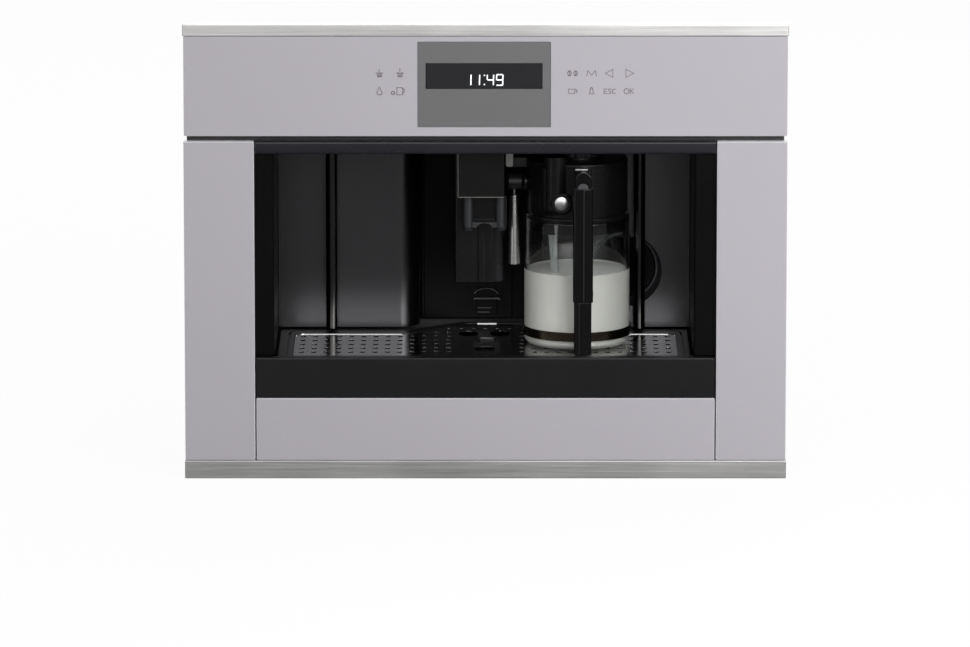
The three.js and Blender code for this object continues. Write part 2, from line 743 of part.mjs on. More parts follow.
// Hopper lid, hinged along its back edge.
function makeBeanLid() {
  const group = new THREE.Group();
  const reach = hopper.half + 3;
  const { x, depth: d } = hopper;
  const slab = raised(roundedRect(x - reach, x + reach, d - reach, d + reach, 8), 372.4, 376.4, 4);
  const grab = block(x - 18, x + 18, d - reach - 4, d - reach + 10, 373, 376);
  const barrel = rodX(2.6, x - 30, x + 30, d + reach + 1.8, 375.2, 12);
  add(group, "bean_lid", join(slab, grab, barrel), glossBlack);
  return group;
}

// Water tank that lifts out through the top, with its cover and folded grip.
function makeTank() {
  const group = new THREE.Group();
  const { left, right, face, back, top } = tank;
  const outline = (inset, r) =>
    roundedRect(left + inset, right - inset, face + inset, back - inset, r);
  const shell = raised(outline(0, 14), shelf.top + seam, top, 4);
  const water = raised(outline(2.6, 11.4), shelf.top + seam + 3, top + 2, 4);
  add(group, "water_tank", cut(shell, water), clearGlass);
  const cover = raised(outline(0.5, 14), top + seam, 368);
  const middle = (left + right) / 2;
  const bridge = sideways(roundedRect(face + 70, face + 84, 366, 376, 4), middle - 42, middle + 42, 4);
  const gap = block(middle - 34, middle + 34, face + 60, face + 95, 368, 371.5);
  add(group, "tank_lid", cut(join(cover, bridge), gap), greyPlastic);
  return group;
}

// Nested channels of the telescopic runners on the cabinet floor.
const channel = (x, half, z0, z1, wall) =>
  polygon([
    [x - half, z0],
    [x + half, z0],
    [x + half, z1],
    [x + half - wall, z1],
    [x + half - wall, z0 + wall],
    [x - half + wall, z0 + wall],
    [x - half + wall, z1],
    [x - half, z1],
  ]);

function makeRunners() {
  const group = new THREE.Group();
  for (const [name, x] of [["left", -240], ["right", 240]]) {
    add(group, "cabinet_rail_" + name, frontal(channel(x, 14, 0, 10, 1.6), 30, 402), zinc);
    add(group, "middle_rail_" + name, frontal(channel(x, 11.5, 2.2, 11, 1.6), 33, 399), brushedSteel);
  }
  return group;
}

const coffeeMachine = new THREE.Group();
coffeeMachine.add(
  makeFascia(),
  makeNiche(),
  makeDoor(),
  makeSpout(),
  makeTray(),
  makeJug(),
  makeCasing(),
  makeSwitch(),
  makeInside(),
  makeBeanLid(),
  makeTank(),
  makeRunners(),
);

export default coffeeMachine;
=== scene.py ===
import json
import math
from types import SimpleNamespace

import bmesh
import bpy
from mathutils import Matrix, Vector


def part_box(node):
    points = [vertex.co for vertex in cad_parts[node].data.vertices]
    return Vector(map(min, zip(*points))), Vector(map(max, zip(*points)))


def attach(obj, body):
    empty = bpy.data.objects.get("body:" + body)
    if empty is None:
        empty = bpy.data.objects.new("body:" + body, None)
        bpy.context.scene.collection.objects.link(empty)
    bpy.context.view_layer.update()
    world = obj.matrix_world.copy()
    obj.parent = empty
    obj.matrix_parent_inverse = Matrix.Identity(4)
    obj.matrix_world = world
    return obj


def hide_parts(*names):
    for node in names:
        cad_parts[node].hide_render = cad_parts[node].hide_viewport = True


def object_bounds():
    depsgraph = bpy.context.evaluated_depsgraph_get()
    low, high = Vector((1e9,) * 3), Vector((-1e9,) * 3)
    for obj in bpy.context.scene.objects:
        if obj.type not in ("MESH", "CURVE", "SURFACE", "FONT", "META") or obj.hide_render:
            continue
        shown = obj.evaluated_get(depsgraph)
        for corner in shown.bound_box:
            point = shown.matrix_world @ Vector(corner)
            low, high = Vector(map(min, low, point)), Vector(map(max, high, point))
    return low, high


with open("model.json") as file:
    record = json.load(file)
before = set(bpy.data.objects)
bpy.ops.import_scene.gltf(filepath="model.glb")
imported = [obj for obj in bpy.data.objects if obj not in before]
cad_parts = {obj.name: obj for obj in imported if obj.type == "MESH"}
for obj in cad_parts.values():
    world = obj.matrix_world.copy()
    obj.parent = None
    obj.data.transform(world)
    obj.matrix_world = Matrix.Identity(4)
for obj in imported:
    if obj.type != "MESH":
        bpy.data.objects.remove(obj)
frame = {"nodes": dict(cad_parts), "record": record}
cadLow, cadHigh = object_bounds()
mm = 0.001
front = cadLow.y         # depths below run backwards from the front face, in millimetres
scene = bpy.context.scene
print("frame loaded:", len(frame["nodes"]), "nodes")


# ---------- shapes ----------

# A place from X, depth behind the front face and height, all in millimetres.
def at(x, depth, z):
    return Vector((x * mm, front + depth * mm, z * mm))


# A node's reach in millimetres, in the same terms.
def span(node):
    low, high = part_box(node)
    s = SimpleNamespace(left=low.x / mm, right=high.x / mm, foot=low.z / mm, top=high.z / mm)
    s.face, s.back = (low.y - front) / mm, (high.y - front) / mm
    s.x, s.depth, s.z = (s.left + s.right) / 2, (s.face + s.back) / 2, (s.foot + s.top) / 2
    s.width = s.right - s.left
    return s


# Corners of a closed outline turned into arcs. radius is one number, or one for each corner.
def rounded(points, radius, steps=5):
    out = []
    tiny, straight = 1e-6, math.radians(89)
    for i, point in enumerate(points):
        here = Vector(point)
        r = radius[i] if isinstance(radius, (list, tuple)) else radius
        before, after = Vector(points[i - 1]) - here, Vector(points[(i + 1) % len(points)]) - here
        sharp = r <= 0 or min(before.length, after.length) < tiny
        half = straight * 2 if sharp else before.angle(after) / 2
        if half > straight:
            out.append(tuple(here))
            continue
        reach = min(r / math.tan(half), before.length * 0.49, after.length * 0.49)
        r = reach * math.tan(half)
        a, b = here + before.normalized() * reach, here + after.normalized() * reach
        middle = here + (before.normalized() + after.normalized()).normalized() * (r / math.sin(half))
        start, sweep = a - middle, (a - middle).angle_signed(b - middle)
        for k in range(steps + 1):
            turn = -sweep * k / steps
            c, s = math.cos(turn), math.sin(turn)
            out.append(tuple(middle + Vector((start.x * c - start.y * s, start.x * s + start.y * c))))
    return out


def rectangle(a0, a1, b0, b1, radius=0, steps=5):
    return rounded([(a0, b0), (a1, b0), (a1, b1), (a0, b1)], radius, steps)


# Part of an ellipse, between two angles in degrees.
def arcLine(x, z, rx, rz, start, end, steps=12):
    turns = [math.radians(start + (end - start) * k / steps) for k in range(steps + 1)]
    return [(x + rx * math.cos(t), z + rz * math.sin(t)) for t in turns]


# A ring whose radius goes in and out as many times as it has lobes.
def wavyRing(x, depth, radius, wave, lobes, perLobe):
    ring = []
    for k in range(lobes * perLobe):
        a = math.tau * k / (lobes * perLobe)
        reach = radius + wave * math.cos(a * lobes)
        ring.append((x + reach * math.cos(a), depth + reach * math.sin(a)))
    return ring


turning = {
    "X": (Vector((0, 0, 1)), Vector((1, 0, 0))),
    "Y": (Vector((1, 0, 0)), Vector((0, 1, 0))),
    "Z": (Vector((1, 0, 0)), Vector((0, 0, 1))),
}


# A profile of radius and distance along the axis, its corners rounded, spun round a place.
def spun(profile, radii, centre, axis="Z", steps=96, smooth=4, closed=False):
    radial, along = turning[axis]
    bm = bmesh.new()
    line = [bm.verts.new(centre + (radial * r + along * h) * mm) for r, h in rounded(profile, radii, smooth)]
    edges = [bm.edges.new(pair) for pair in zip(line, line[1:])]
    if closed:
        edges.append(bm.edges.new((line[-1], line[0])))
    bmesh.ops.spin(bm, geom=line + edges, cent=centre, axis=along, dvec=(0, 0, 0),
                   angle=math.tau, steps=steps, use_merge=True, use_duplicate=False)
    bmesh.ops.remove_doubles(bm, verts=bm.verts, dist=1e-6)
    bmesh.ops.recalc_face_normals(bm, faces=bm.faces)
    return bm


# Gives faces a thickness by pulling a copy of them away.
def thicken(bm, faces, step):
    grown = bmesh.ops.extrude_face_region(bm, geom=faces, use_keep_orig=True)["geom"]
    far = [g for g in grown if isinstance(g, bmesh.types.BMVert)]
    bmesh.ops.translate(bm, verts=far, vec=step)


def soften(bm, edges, width, segments):
    bmesh.ops.bevel(bm, geom=edges, offset=width * mm, segments=segments, profile=0.5,
                    affect="EDGES", material=-1, clamp_overlap=True)


planes = {
    "top": lambda a, b, c: at(a, b, c),
    "front": lambda a, b, c: at(a, c, b),
    "side": lambda a, b, c: at(c, a, b),
}


# An outline, with any holes, drawn in a plane and pulled through from one level to the other.
def pulled(outline, start, end, plane="top", bevel=0.0, segments=3, holes=()):
    bm = bmesh.new()
    put = planes[plane]
    loops = []
    for ring in [outline, *holes]:
        line = [bm.verts.new(put(a, b, start)) for a, b in ring]
        loops.append([bm.edges.new((line[i - 1], line[i])) for i in range(len(line))])
    if holes:
        bmesh.ops.triangle_fill(bm, use_beauty=True, use_dissolve=False,
                                edges=[e for loop in loops for e in loop])
    else:
        bm.faces.new([e.verts[0] for e in loops[0]])
    thicken(bm, list(bm.faces), put(0, 0, end) - put(0, 0, start))
    bmesh.ops.recalc_face_normals(bm, faces=bm.faces)
    if bevel:
        corner = 1.2    # radians; only edges that turn more are softened
        soften(bm, [e for e in bm.edges if len(e.link_faces) == 2 and e.calc_face_angle() > corner],
               bevel, segments)
    return bm


# A block with its edges rounded over.
def slab(x0, x1, d0, d1, z0, z1, bevel=0.6, segments=3):
    bm = bmesh.new()
    bmesh.ops.create_cube(bm, size=1)
    bmesh.ops.scale(bm, vec=Vector((x1 - x0, d1 - d0, z1 - z0)) * mm, verts=bm.verts)
    bmesh.ops.translate(bm, vec=at((x0 + x1) / 2, (d0 + d1) / 2, (z0 + z1) / 2), verts=bm.verts)
    if bevel:
        soften(bm, bm.edges, bevel, segments)
    return bm


# A rod with rounded ends, from one place to another along an axis.
def rod(radius, centre, length, axis="Z", steps=48, edge=0.6):
    return spun([(0, 0), (radius, 0), (radius, length), (0, length)], [0, edge, edge, 0], centre, axis, steps)


# Turns a shape made along Z at the origin to face a direction, and moves it to its place.
def placed(bm, place, facing):
    turn = Vector((0, 0, 1)).rotation_difference(facing).to_matrix().to_4x4()
    bmesh.ops.transform(bm, matrix=Matrix.Translation(place) @ turn, verts=bm.verts)
    return bm


def newObject(name, bm):
    mesh = bpy.data.meshes.new(name)
    bm.to_mesh(mesh)
    bm.free()
    obj = bpy.data.objects.new(name, mesh)
    scene.collection.objects.link(obj)
    return obj


# What is left of a shape after cutters are taken out of it.
def carved(bm, *cutters):
    body = newObject("carvedBody", bm)
    spares = [newObject("carvingTool", cutter) for cutter in cutters]
    for spare in spares:
        step = body.modifiers.new("carve", "BOOLEAN")
        step.operation, step.solver, step.object = "DIFFERENCE", "EXACT", spare
    bpy.context.view_layer.update()
    made = body.evaluated_get(bpy.context.evaluated_depsgraph_get())
    out = bmesh.new()
    out.from_mesh(made.to_mesh())
    made.to_mesh_clear()
    for o in [body, *spares]:
        mesh = o.data
        bpy.data.objects.remove(o)
        bpy.data.meshes.remove(mesh)
    return out


# Joins parts into one finished object that rides on a body, and stands for the CAD nodes named.
def piece(name, parts, body, slotName, *stands, material=None, sharpAngle=32):
    whole = bmesh.new()
    for part in parts if isinstance(parts, list) else [parts]:
        spare = bpy.data.meshes.new("spare")
        part.to_mesh(spare)
        part.free()
        whole.from_mesh(spare)
        bpy.data.meshes.remove(spare)
    obj = newObject(name, whole)
    obj.data.materials.append(material or finishes[slotName])
    obj.data.polygons.foreach_set("use_smooth", [True] * len(obj.data.polygons))
    obj.data.set_sharp_from_angle(angle=math.radians(sharpAngle))
    # keeps the large flat faces flat beside their rounded edges
    obj.modifiers.new("evenNormals", "WEIGHTED_NORMAL").keep_sharp = True
    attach(obj, body)
    if stands:
        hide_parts(*stands)


# ---------- shader nodes and groups ----------

# Adds a node. Each of its inputs is given a socket to link from, or a plain value.
def addNode(tree, kind, inputs=None, **settings):
    node = tree.nodes.new("ShaderNode" + kind)
    for key, value in settings.items():
        setattr(node, key, value)
    setInputs(tree, node, inputs or {})
    return node


def setInputs(tree, node, inputs):
    for key, value in inputs.items():
        if isinstance(value, bpy.types.NodeSocket):
            tree.links.new(value, node.inputs[key])
        else:
            node.inputs[key].default_value = value


def mathNode(tree, operation, first, second=0.5):
    return addNode(tree, "Math", {0: first, 1: second}, operation=operation).outputs[0]


def noiseNode(tree, vector, scale, detail=3.0, rough=0.55):
    return addNode(tree, "TexNoise", {"Vector": vector, "Scale": scale, "Detail": detail,
                                      "Roughness": rough}).outputs["Fac"]


def mixColor(tree, factor, first, second):
    return addNode(tree, "Mix", {0: factor, 6: first, 7: second}, data_type="RGBA").outputs[2]


# A group that turns a place on the surface into a color, a roughness and a height.
def newGroup(name, **values):
    group = bpy.data.node_groups.new(name, "ShaderNodeTree")
    for label, kind, value in (("Place", "Vector", None), ("Color", "Color", (0.5, 0.5, 0.5, 1)),
                               *((key.replace("_", " "), "Float", value) for key, value in values.items())):
        kind = "Vector" if isinstance(value, tuple) and len(value) == 3 else kind
        socket = group.interface.new_socket(name=label, in_out="INPUT", socket_type="NodeSocket" + kind)
        if value is not None:
            socket.default_value = value
    for label, kind in (("Color", "Color"), ("Roughness", "Float"), ("Height", "Float")):
        group.interface.new_socket(name=label, in_out="OUTPUT", socket_type="NodeSocket" + kind)
    return group, group.nodes.new("NodeGroupInput").outputs, group.nodes.new("NodeGroupOutput").inputs


# Sends out the color and roughness, each moved by its own swing about nought.
def finishGroup(group, source, sink, toneSwing, roughSwing, height):
    lift = mathNode(group, "ADD", mathNode(group, "MULTIPLY", toneSwing, source["Tone"]), 1.0)
    tone = addNode(group, "VectorMath", {0: source["Color"], "Scale": lift}, operation="SCALE")
    rough = mathNode(group, "ADD", source["Roughness"], roughSwing)
    for output, socket in ((tone.outputs[0], "Color"), (rough, "Roughness"), (height, "Height")):
        group.links.new(output, sink[socket])
    return group


# Fine grain and broad unevenness of a moulded, painted or cast surface.
def makeGrainGroup():
    group, source, sink = newGroup("surfaceGrain", Tone=0.15, Roughness=0.4, Spread=0.12, Scale=900.0,
                                   Smudge_Scale=14.0)
    fine = noiseNode(group, source["Place"], source["Scale"], 2.0)
    broad = noiseNode(group, source["Place"], source["Smudge Scale"], 4.0, 0.6)
    mixed = mathNode(group, "ADD", mathNode(group, "MULTIPLY", fine, 0.35),
                     mathNode(group, "MULTIPLY", broad, 0.65))
    unevenness = mathNode(group, "MULTIPLY", mathNode(group, "SUBTRACT", broad), source["Spread"])
    return finishGroup(group, source, sink, mathNode(group, "SUBTRACT", mixed), unevenness, fine)


# Long fine lines of a brushed sheet. Stretch squeezes the pattern across the brushing.
def makeBrushGroup():
    group, source, sink = newGroup("brushedLines", Stretch=(6, 600, 600), Tone=0.35, Roughness=0.3,
                                   Spread=0.25, Drift=0.4, Drift_Scale=9.0)
    spread = addNode(group, "VectorMath", {0: source["Place"], 1: source["Stretch"]}, operation="MULTIPLY")
    lines = noiseNode(group, spread.outputs[0], 1.0, 4.0, 0.7)
    slow = noiseNode(group, source["Place"], source["Drift Scale"], 2.0)
    swing = mathNode(group, "SUBTRACT", lines)
    drift = mathNode(group, "MULTIPLY", mathNode(group, "SUBTRACT", slow), source["Drift"])
    return finishGroup(group, source, sink, mathNode(group, "ADD", swing, drift),
                       mathNode(group, "MULTIPLY", swing, source["Spread"]), lines)


# Crystals of galvanised sheet.
def makeSpangleGroup():
    group, source, sink = newGroup("zincSpangle", Tone=0.2, Roughness=0.35, Scale=130.0)
    warp = addNode(group, "VectorMath", {0: noiseNode(group, source["Place"], 60.0, 2.0), "Scale": 0.004},
                   operation="SCALE")
    shifted = addNode(group, "VectorMath", {0: source["Place"], 1: warp.outputs[0]}, operation="ADD")
    cells = addNode(group, "TexVoronoi", {"Vector": shifted.outputs[0], "Scale": source["Scale"]},
                    feature="F1")
    grey = addNode(group, "RGBToBW", {0: cells.outputs["Color"]}).outputs[0]
    swing = mathNode(group, "SUBTRACT", grey)
    return finishGroup(group, source, sink, swing, mathNode(group, "MULTIPLY", swing, 0.1), grey)


grainGroup = makeGrainGroup()
brushGroup = makeBrushGroup()
spangleGroup = makeSpangleGroup()


# ---------- materials ----------

def startMaterial(name, metallic=0.0, specular=0.5, coat=0.0, coatRoughness=0.05, ior=1.5):
    material = bpy.data.materials.new(name)
    material.use_nodes = True
    tree = material.node_tree
    shader = tree.nodes["Principled BSDF"]
    setInputs(tree, shader, {"Metallic": metallic, "Specular IOR Level": specular, "IOR": ior,
                             "Coat Weight": coat, "Coat Roughness": coatRoughness})
    return material, tree, shader, addNode(tree, "TexCoord").outputs["Object"]


# A material whose color, roughness and relief come from one of the groups.
def patterned(name, group, values, bump, bumpDistance=0.0002, **base):
    material, tree, shader, place = startMaterial(name, **base)
    pattern = addNode(tree, "Group", {"Place": place, **values}, node_tree=group).outputs
    relief = addNode(tree, "Bump", {"Strength": bump, "Distance": bumpDistance, "Height": pattern["Height"]})
    setInputs(tree, shader, {"Base Color": pattern["Color"], "Roughness": pattern["Roughness"],
                             "Normal": relief.outputs[0]})
    return material


def grained(name, color, roughness, bump=0.1, scale=900.0, tone=0.15, spread=0.12, smudge=14.0, **base):
    return patterned(name, grainGroup, {"Color": (*color, 1), "Roughness": roughness, "Scale": scale,
                                        "Tone": tone, "Spread": spread, "Smudge Scale": smudge}, bump, **base)


def brushed(name, color, roughness, stretch, bump=0.15, tone=0.5, spread=0.3, drift=(0.4, 9.0), metallic=1.0):
    return patterned(name, brushGroup, {"Color": (*color, 1), "Roughness": roughness, "Stretch": stretch,
                                        "Tone": tone, "Spread": spread, "Drift": drift[0],
                                        "Drift Scale": drift[1]}, bump, 0.0001, metallic=metallic)


def spangled(name, color, roughness, scale=130.0):
    return patterned(name, spangleGroup, {"Color": (*color, 1), "Roughness": roughness, "Scale": scale},
                     0.05, 0.0001, metallic=0.6)


# Clear glass or plastic with faint streaks in its surface.
def clear(name, color, roughness, ior=1.5, bump=0.02, clearness=1.0, shadow=0.54):
    material = grained(name, color, roughness, bump, 60.0, 0.02, 0.03, 25.0, ior=ior)
    tree = material.node_tree
    shader = tree.nodes["Principled BSDF"]
    shader.inputs["Transmission Weight"].default_value = clearness
    # lamps shine through it onto what is inside
    through = addNode(tree, "BsdfTransparent", {"Color": (*[shadow * c for c in color], 1)})
    mix = addNode(tree, "MixShader", {0: addNode(tree, "LightPath").outputs["Is Shadow Ray"],
                                      1: shader.outputs[0], 2: through.outputs[0]})
    tree.links.new(mix.outputs[0], tree.nodes["Material Output"].inputs["Surface"])
    return material


def glowing(name, color, strength):
    material, tree, shader, place = startMaterial(name)
    tone = mixColor(tree, noiseNode(tree, place, 1500.0), (*[c * 0.85 for c in color], 1), (*color, 1))
    setInputs(tree, shader, {"Base Color": tone, "Emission Color": tone, "Emission Strength": strength,
                             "Roughness": 0.6})
    return material


# Fades a material's color into another where the surface turns along an axis of the object, to paint shade or
# a highlight by facing.
def tonedWhereTurned(material, axis, start, end, color, bothWays=False):
    tree = material.node_tree
    base = tree.nodes["Principled BSDF"].inputs["Base Color"]
    facing = tree.nodes["Texture Coordinate"].outputs["Normal"]
    reach = addNode(tree, "SeparateXYZ", {0: facing}).outputs[axis]
    mask = addNode(tree, "MapRange", {"Value": mathNode(tree, "ABSOLUTE", reach) if bothWays else reach,
                                      "From Min": start, "From Max": end}, interpolation_type="SMOOTHSTEP")
    tree.links.new(mixColor(tree, mask.outputs["Result"], base.links[0].from_socket, (*color, 1)), base)
    return material


# Coated glass plate whose cut edges are polished, with a painted highlight that makes them paler than its
# face.
def plateGlass(name, color, edgeHighlightColor, roughness):
    material = grained(name, color, roughness, 0.02, 2600.0, 0.05, 0.06, 3.0, specular=0.3, coat=1.0,
                       coatRoughness=0.03)
    return tonedWhereTurned(material, "Y", 0.97, 0.55, edgeHighlightColor, True)


# Brushed dark sheet with painted shade where it turns to the right.
def turnedSheet(name, color, shade, roughness):
    material = brushed(name, color, roughness, (900, 900, 30), 0.06, 0.12, 0.05, metallic=0.95)
    return tonedWhereTurned(material, "X", 0.04, 0.36, shade)


finishes = {
    "lilac_glass": plateGlass("lilacGlass", (0.415, 0.396, 0.43), (0.86, 0.85, 0.88), 0.42),
    "trim_steel": brushed("trimSteel", (0.66, 0.655, 0.645), 0.36, (9, 900, 900), 0.2, 0.6, 0.3, (1.2, 6.0),
                          0.7),
    "grid_steel": brushed("gridSteel", (0.58, 0.58, 0.575), 0.16, (25, 900, 900), 0.05, 0.2, 0.12),
    "display_grey": grained("displayGrey", (0.118, 0.118, 0.121), 0.5, 0.05, 1800, 0.08),
    "display_black": grained("displayBlack", (0.022, 0.022, 0.024), 0.14, 0.01, 900, 0.05, specular=0.3),
    "charcoal_bar": grained("charcoalBar", (0.012, 0.012, 0.016), 0.28, 0.06, 1400, 0.1, specular=0.35),
    "frame_black": grained("frameBlack", (0.014, 0.014, 0.015), 0.5, 0.25, 1100, 0.2),
    "niche_black": grained("nicheBlack", (0.0035, 0.0032, 0.0034), 0.32, 0.1, 1300, 0.2, specular=0.07),
    "dark_steel": turnedSheet("darkSteel", (0.095, 0.094, 0.099), (0.03, 0.03, 0.031), 0.24),
    "recess_steel": grained("recessSteel", (0.06, 0.06, 0.066), 0.35, 0.1, 1200, 0.12),
    "bar_black": grained("barBlack", (0.003, 0.0028, 0.0029), 0.14, 0.02, 700, 0.1, specular=0.6),
    "tray_black": grained("trayBlack", (0.009, 0.009, 0.010), 0.3, 0.1, 1300, 0.15, specular=0.28),
    "float_grey": grained("floatGrey", (0.05, 0.05, 0.055), 0.35, 0.08),
    "jug_glass": clear("jugGlass", (0.97, 0.985, 0.98), 0.0, 1.46),
    "tube_clear": clear("tubeClear", (0.80, 0.83, 0.83), 0.16, 1.4, 0.05, 0.75),
    "jug_black": grained("jugBlack", (0.003, 0.0028, 0.003), 0.14, 0.03, 900, 0.1, specular=0.45),
    "band_bronze": brushed("bandBronze", (0.065, 0.052, 0.038), 0.24, (300, 300, 2600), 0.15, 0.5),
    "chrome": grained("chrome", (0.78, 0.775, 0.76), 0.07, 0.02, 500, 0.05, 0.05, metallic=1.0),
    "knob_grey": grained("knobGrey", (0.018, 0.018, 0.02), 0.5, 0.12, 1200, 0.2, specular=0.2),
    "casing_zinc": spangled("casingZinc", (0.44, 0.45, 0.46), 0.36),
    "board_green": grained("boardGreen", (0.015, 0.10, 0.04), 0.4, 0.15, 400, 0.5),
    "socket_black": grained("socketBlack", (0.014, 0.014, 0.015), 0.42, 0.15),
    "unit_black": grained("unitBlack", (0.018, 0.018, 0.02), 0.45, 0.2),
    "bin_grey": grained("binGrey", (0.075, 0.075, 0.08), 0.45, 0.15),
    "boiler_steel": brushed("boilerSteel", (0.48, 0.47, 0.45), 0.3, (400, 400, 3000)),
    "grinder_grey": grained("grinderGrey", (0.10, 0.10, 0.108), 0.42, 0.15),
    "lid_black": grained("lidBlack", (0.012, 0.012, 0.013), 0.22, 0.06),
    "tank_clear": clear("tankClear", (0.86, 0.89, 0.91), 0.12, 1.45, 0.08),
    "tank_grey": grained("tankGrey", (0.085, 0.085, 0.09), 0.42, 0.15),
    "rail_zinc": spangled("railZinc", (0.46, 0.47, 0.48), 0.32, 220.0),
    "rail_steel": brushed("railSteel", (0.45, 0.45, 0.45), 0.28, (700, 9, 700)),
}
milkWhite = grained("milk", (0.72, 0.715, 0.68), 0.3, 0.01, 300, 0.03, 0.05, 10.0, specular=0.4)
# painted shade: the milk is darker where it turns to the right
tonedWhereTurned(milkWhite, "X", 0.0, 0.9, (0.5, 0.5, 0.47))
# painted light: the milk's top is paler where it faces up
tonedWhereTurned(milkWhite, "Z", 0.6, 0.95, (0.92, 0.915, 0.87))
digitWhite = glowing("digitWhite", (0.92, 0.95, 0.97), 0.9)
keyPrint = grained("keyPrint", (0.135, 0.12, 0.118), 0.5, 0.02, 2500, 0.3)
screwSteel = brushed("screwSteel", (0.42, 0.42, 0.41), 0.3, (900, 900, 60))
# painted shade: a darker copy of the trim steel for the bottom trim, which gets less light
shadedFootSteel = brushed("shadedFootSteel", (0.49, 0.487, 0.48), 0.36, (9, 900, 900), 0.2, 0.6, 0.3, (1.6, 6.0), 0.75)
barSteel = brushed("barSteel", (0.075, 0.073, 0.072), 0.17, (900, 900, 40), 0.03, 0.12, 0.05)
spoutMetal = grained("spoutMetal", (0.018, 0.0175, 0.0175), 0.24, 0.03, 1500, 0.1, metallic=0.7)
spoutGloss = grained("spoutGloss", (0.045, 0.0465, 0.05), 0.42, 0.02, 900, 0.1, metallic=0.8)
# painted highlight: the column is paler where it turns to the right
columnGloss = tonedWhereTurned(
    grained("columnGloss", (0.003, 0.0028, 0.0029), 0.28, 0.03, 900, 0.1, specular=0.36),
    "X", 0.2, 0.75, (0.045, 0.0445, 0.048))
# painted highlight for the spout head's edges
edgeHighlightMetal = brushed("edgeHighlightMetal", (0.20, 0.19, 0.175), 0.3, (40, 900, 40), 0.05, 0.2, 0.1, metallic=0.8)
lidGloss = grained("lidGloss", (0.004, 0.0037, 0.004), 0.26, 0.04, 1100, 0.12, specular=0.24)
hubBlack = grained("hubBlack", (0.006, 0.006, 0.006), 0.42, 0.1, 1200, 0.15, specular=0.3)
satinSteel = brushed("satinSteel", (0.62, 0.615, 0.60), 0.24, (600, 600, 12), 0.05, 0.2, 0.1)
coverSteel = grained("coverSteel", (0.215, 0.212, 0.209), 0.3, 0.03, 900, 0.1, metallic=0.7)
# painted highlight along the handle's ridges
ridgeHighlight = grained("ridgeHighlight", (0.017, 0.017, 0.0175), 0.25, 0.02, 900, 0.1)
buttonSteel = brushed("buttonSteel", (0.59, 0.59, 0.585), 0.32, (300, 900, 300), 0.05, 0.15, 0.1)


for part in frame["record"]["subparts"]:
    node = frame["nodes"][part["node"]]
    for holder in node.material_slots:
        holder.material = finishes[part["material_slot"]]
print("materials ready:", len(bpy.data.materials))


# ---------- control panel: digits and touch symbols ----------

panelLook = {"stroke": 0.62, "proud": 0.12, "leftKeys": (-104.1, -83.9),
             "rightKeys": (85.4, 104.1, 121.9, 141.6), "rows": (406.6, 388.8)}
clockLook = {"time": "1149", "starts": (-20.4, -11.95, 1.7, 10.85), "height": 10.6, "width": 6.1, "z": 399.9,
             "stroke": 1.08, "proud": 0.15, "gap": 0.75, "slant": 0.025, "colon": -1.1, "dot": 0.1,
             "dots": (-4.5, 4.5)}
# each bar of a digit, from and to, as shares of its width and height
clockBars = {"a": (0, 1, 1, 1), "b": (1, 0.5, 1, 1), "c": (1, 0, 1, 0.5), "d": (0, 0, 1, 0),
             "f": (0, 0.5, 0, 1), "g": (0, 0.5, 1, 0.5)}
barsOf = {"1": "bc", "4": "fgbc", "9": "abcdfg"}


# Flat ribbons along lines drawn in X and Z round a centre, lying on a face at a depth.
def ribbons(lines, x, z, depth, width, proud):
    bm = bmesh.new()
    for line in lines:
        for start, end in zip(line, line[1:]):
            a, b = Vector(start), Vector(end)
            if (b - a).length < 1e-6:
                continue
            along = (b - a).normalized() * width / 2
            side = Vector((-along.y, along.x))
            corners = [a - along - side, b + along - side, b + along + side, a - along + side]
            face = bm.faces.new([bm.verts.new(at(x + c.x, depth, z + c.y)) for c in corners])
            thicken(bm, [face], (0, -proud * mm, 0))
    bmesh.ops.recalc_face_normals(bm, faces=bm.faces)
    return bm


def makeClock():
    look = clockLook
    w, h, colon = look["width"], look["height"], look["colon"]
    lines = []
    for digit, left in zip(look["time"], look["starts"]):
        for bar in barsOf[digit]:
            x0, z0, x1, z1 = clockBars[bar]
            a, b = Vector((x0 * w, z0 * h)), Vector((x1 * w, z1 * h))
            gap = (b - a).normalized() * look["gap"]
            ends = (a + gap, b - gap)
            lines.append([(left + p.x + look["slant"] * (p.y - h / 2), p.y - h / 2) for p in ends])
    lines += [[(colon - look["dot"], z), (colon + look["dot"], z)] for z in look["dots"]]
    bm = ribbons(lines, 0, look["z"], span("display_window").face, look["stroke"], look["proud"])
    piece("clockDigits", bm, "machine", "display_black", material=digitWhite)


# A small full cup with a wide rim, and steam over it.
def fullCup(steamTop):
    fill = [[(x, 0.2), (x * 0.8, -3.3)] for x in (-2.4, -1.2, 0, 1.2, 2.4)]
    return fill + [[(-3.5, 0.4), (3.7, 0.4)], [(-2, -3.4), (2, -3.4)],
                   [(-0.4, 1.9), (0.1, (1.9 + steamTop) / 2), (-0.3, steamTop)]]


def bean(x):
    return [arcLine(x, 0, 1.7, 2.5, 0, 360, 14), [(x - 0.4, 2.2), (x + 0.4, 0), (x - 0.4, -2.2)]]


letters = {
    "M": [[(0, 0), (1.1, 5.6), (4.8, 0.9), (8.5, 5.6), (9.6, 0)]],
    "E": [[(3, 0), (0, 0), (0, 4.6), (3, 4.6)], [(0, 2.3), (2.6, 2.3)]],
    "S": [[(0, 0.3), (2.4, 0), (3, 1.2), (0.2, 3.3), (0.8, 4.6), (3, 4.4)]],
    "C": [[(3, 0.5), (2, 0), (0.4, 0.6), (0, 2.3), (0.4, 4), (2, 4.6), (3, 4.1)]],
    "O": [arcLine(2, 2.6, 2.5, 2.6, 0, 360, 16)],
    "K": [[(0, 0), (0, 5.2)], [(3.2, 5.2), (0, 2.2)], [(1.1, 3.2), (3.4, 0)]],
}


def word(text, x, z, pitch=4.1):
    return [[(a + x + pitch * k, b + z) for a, b in line] for k, c in enumerate(text) for line in letters[c]]


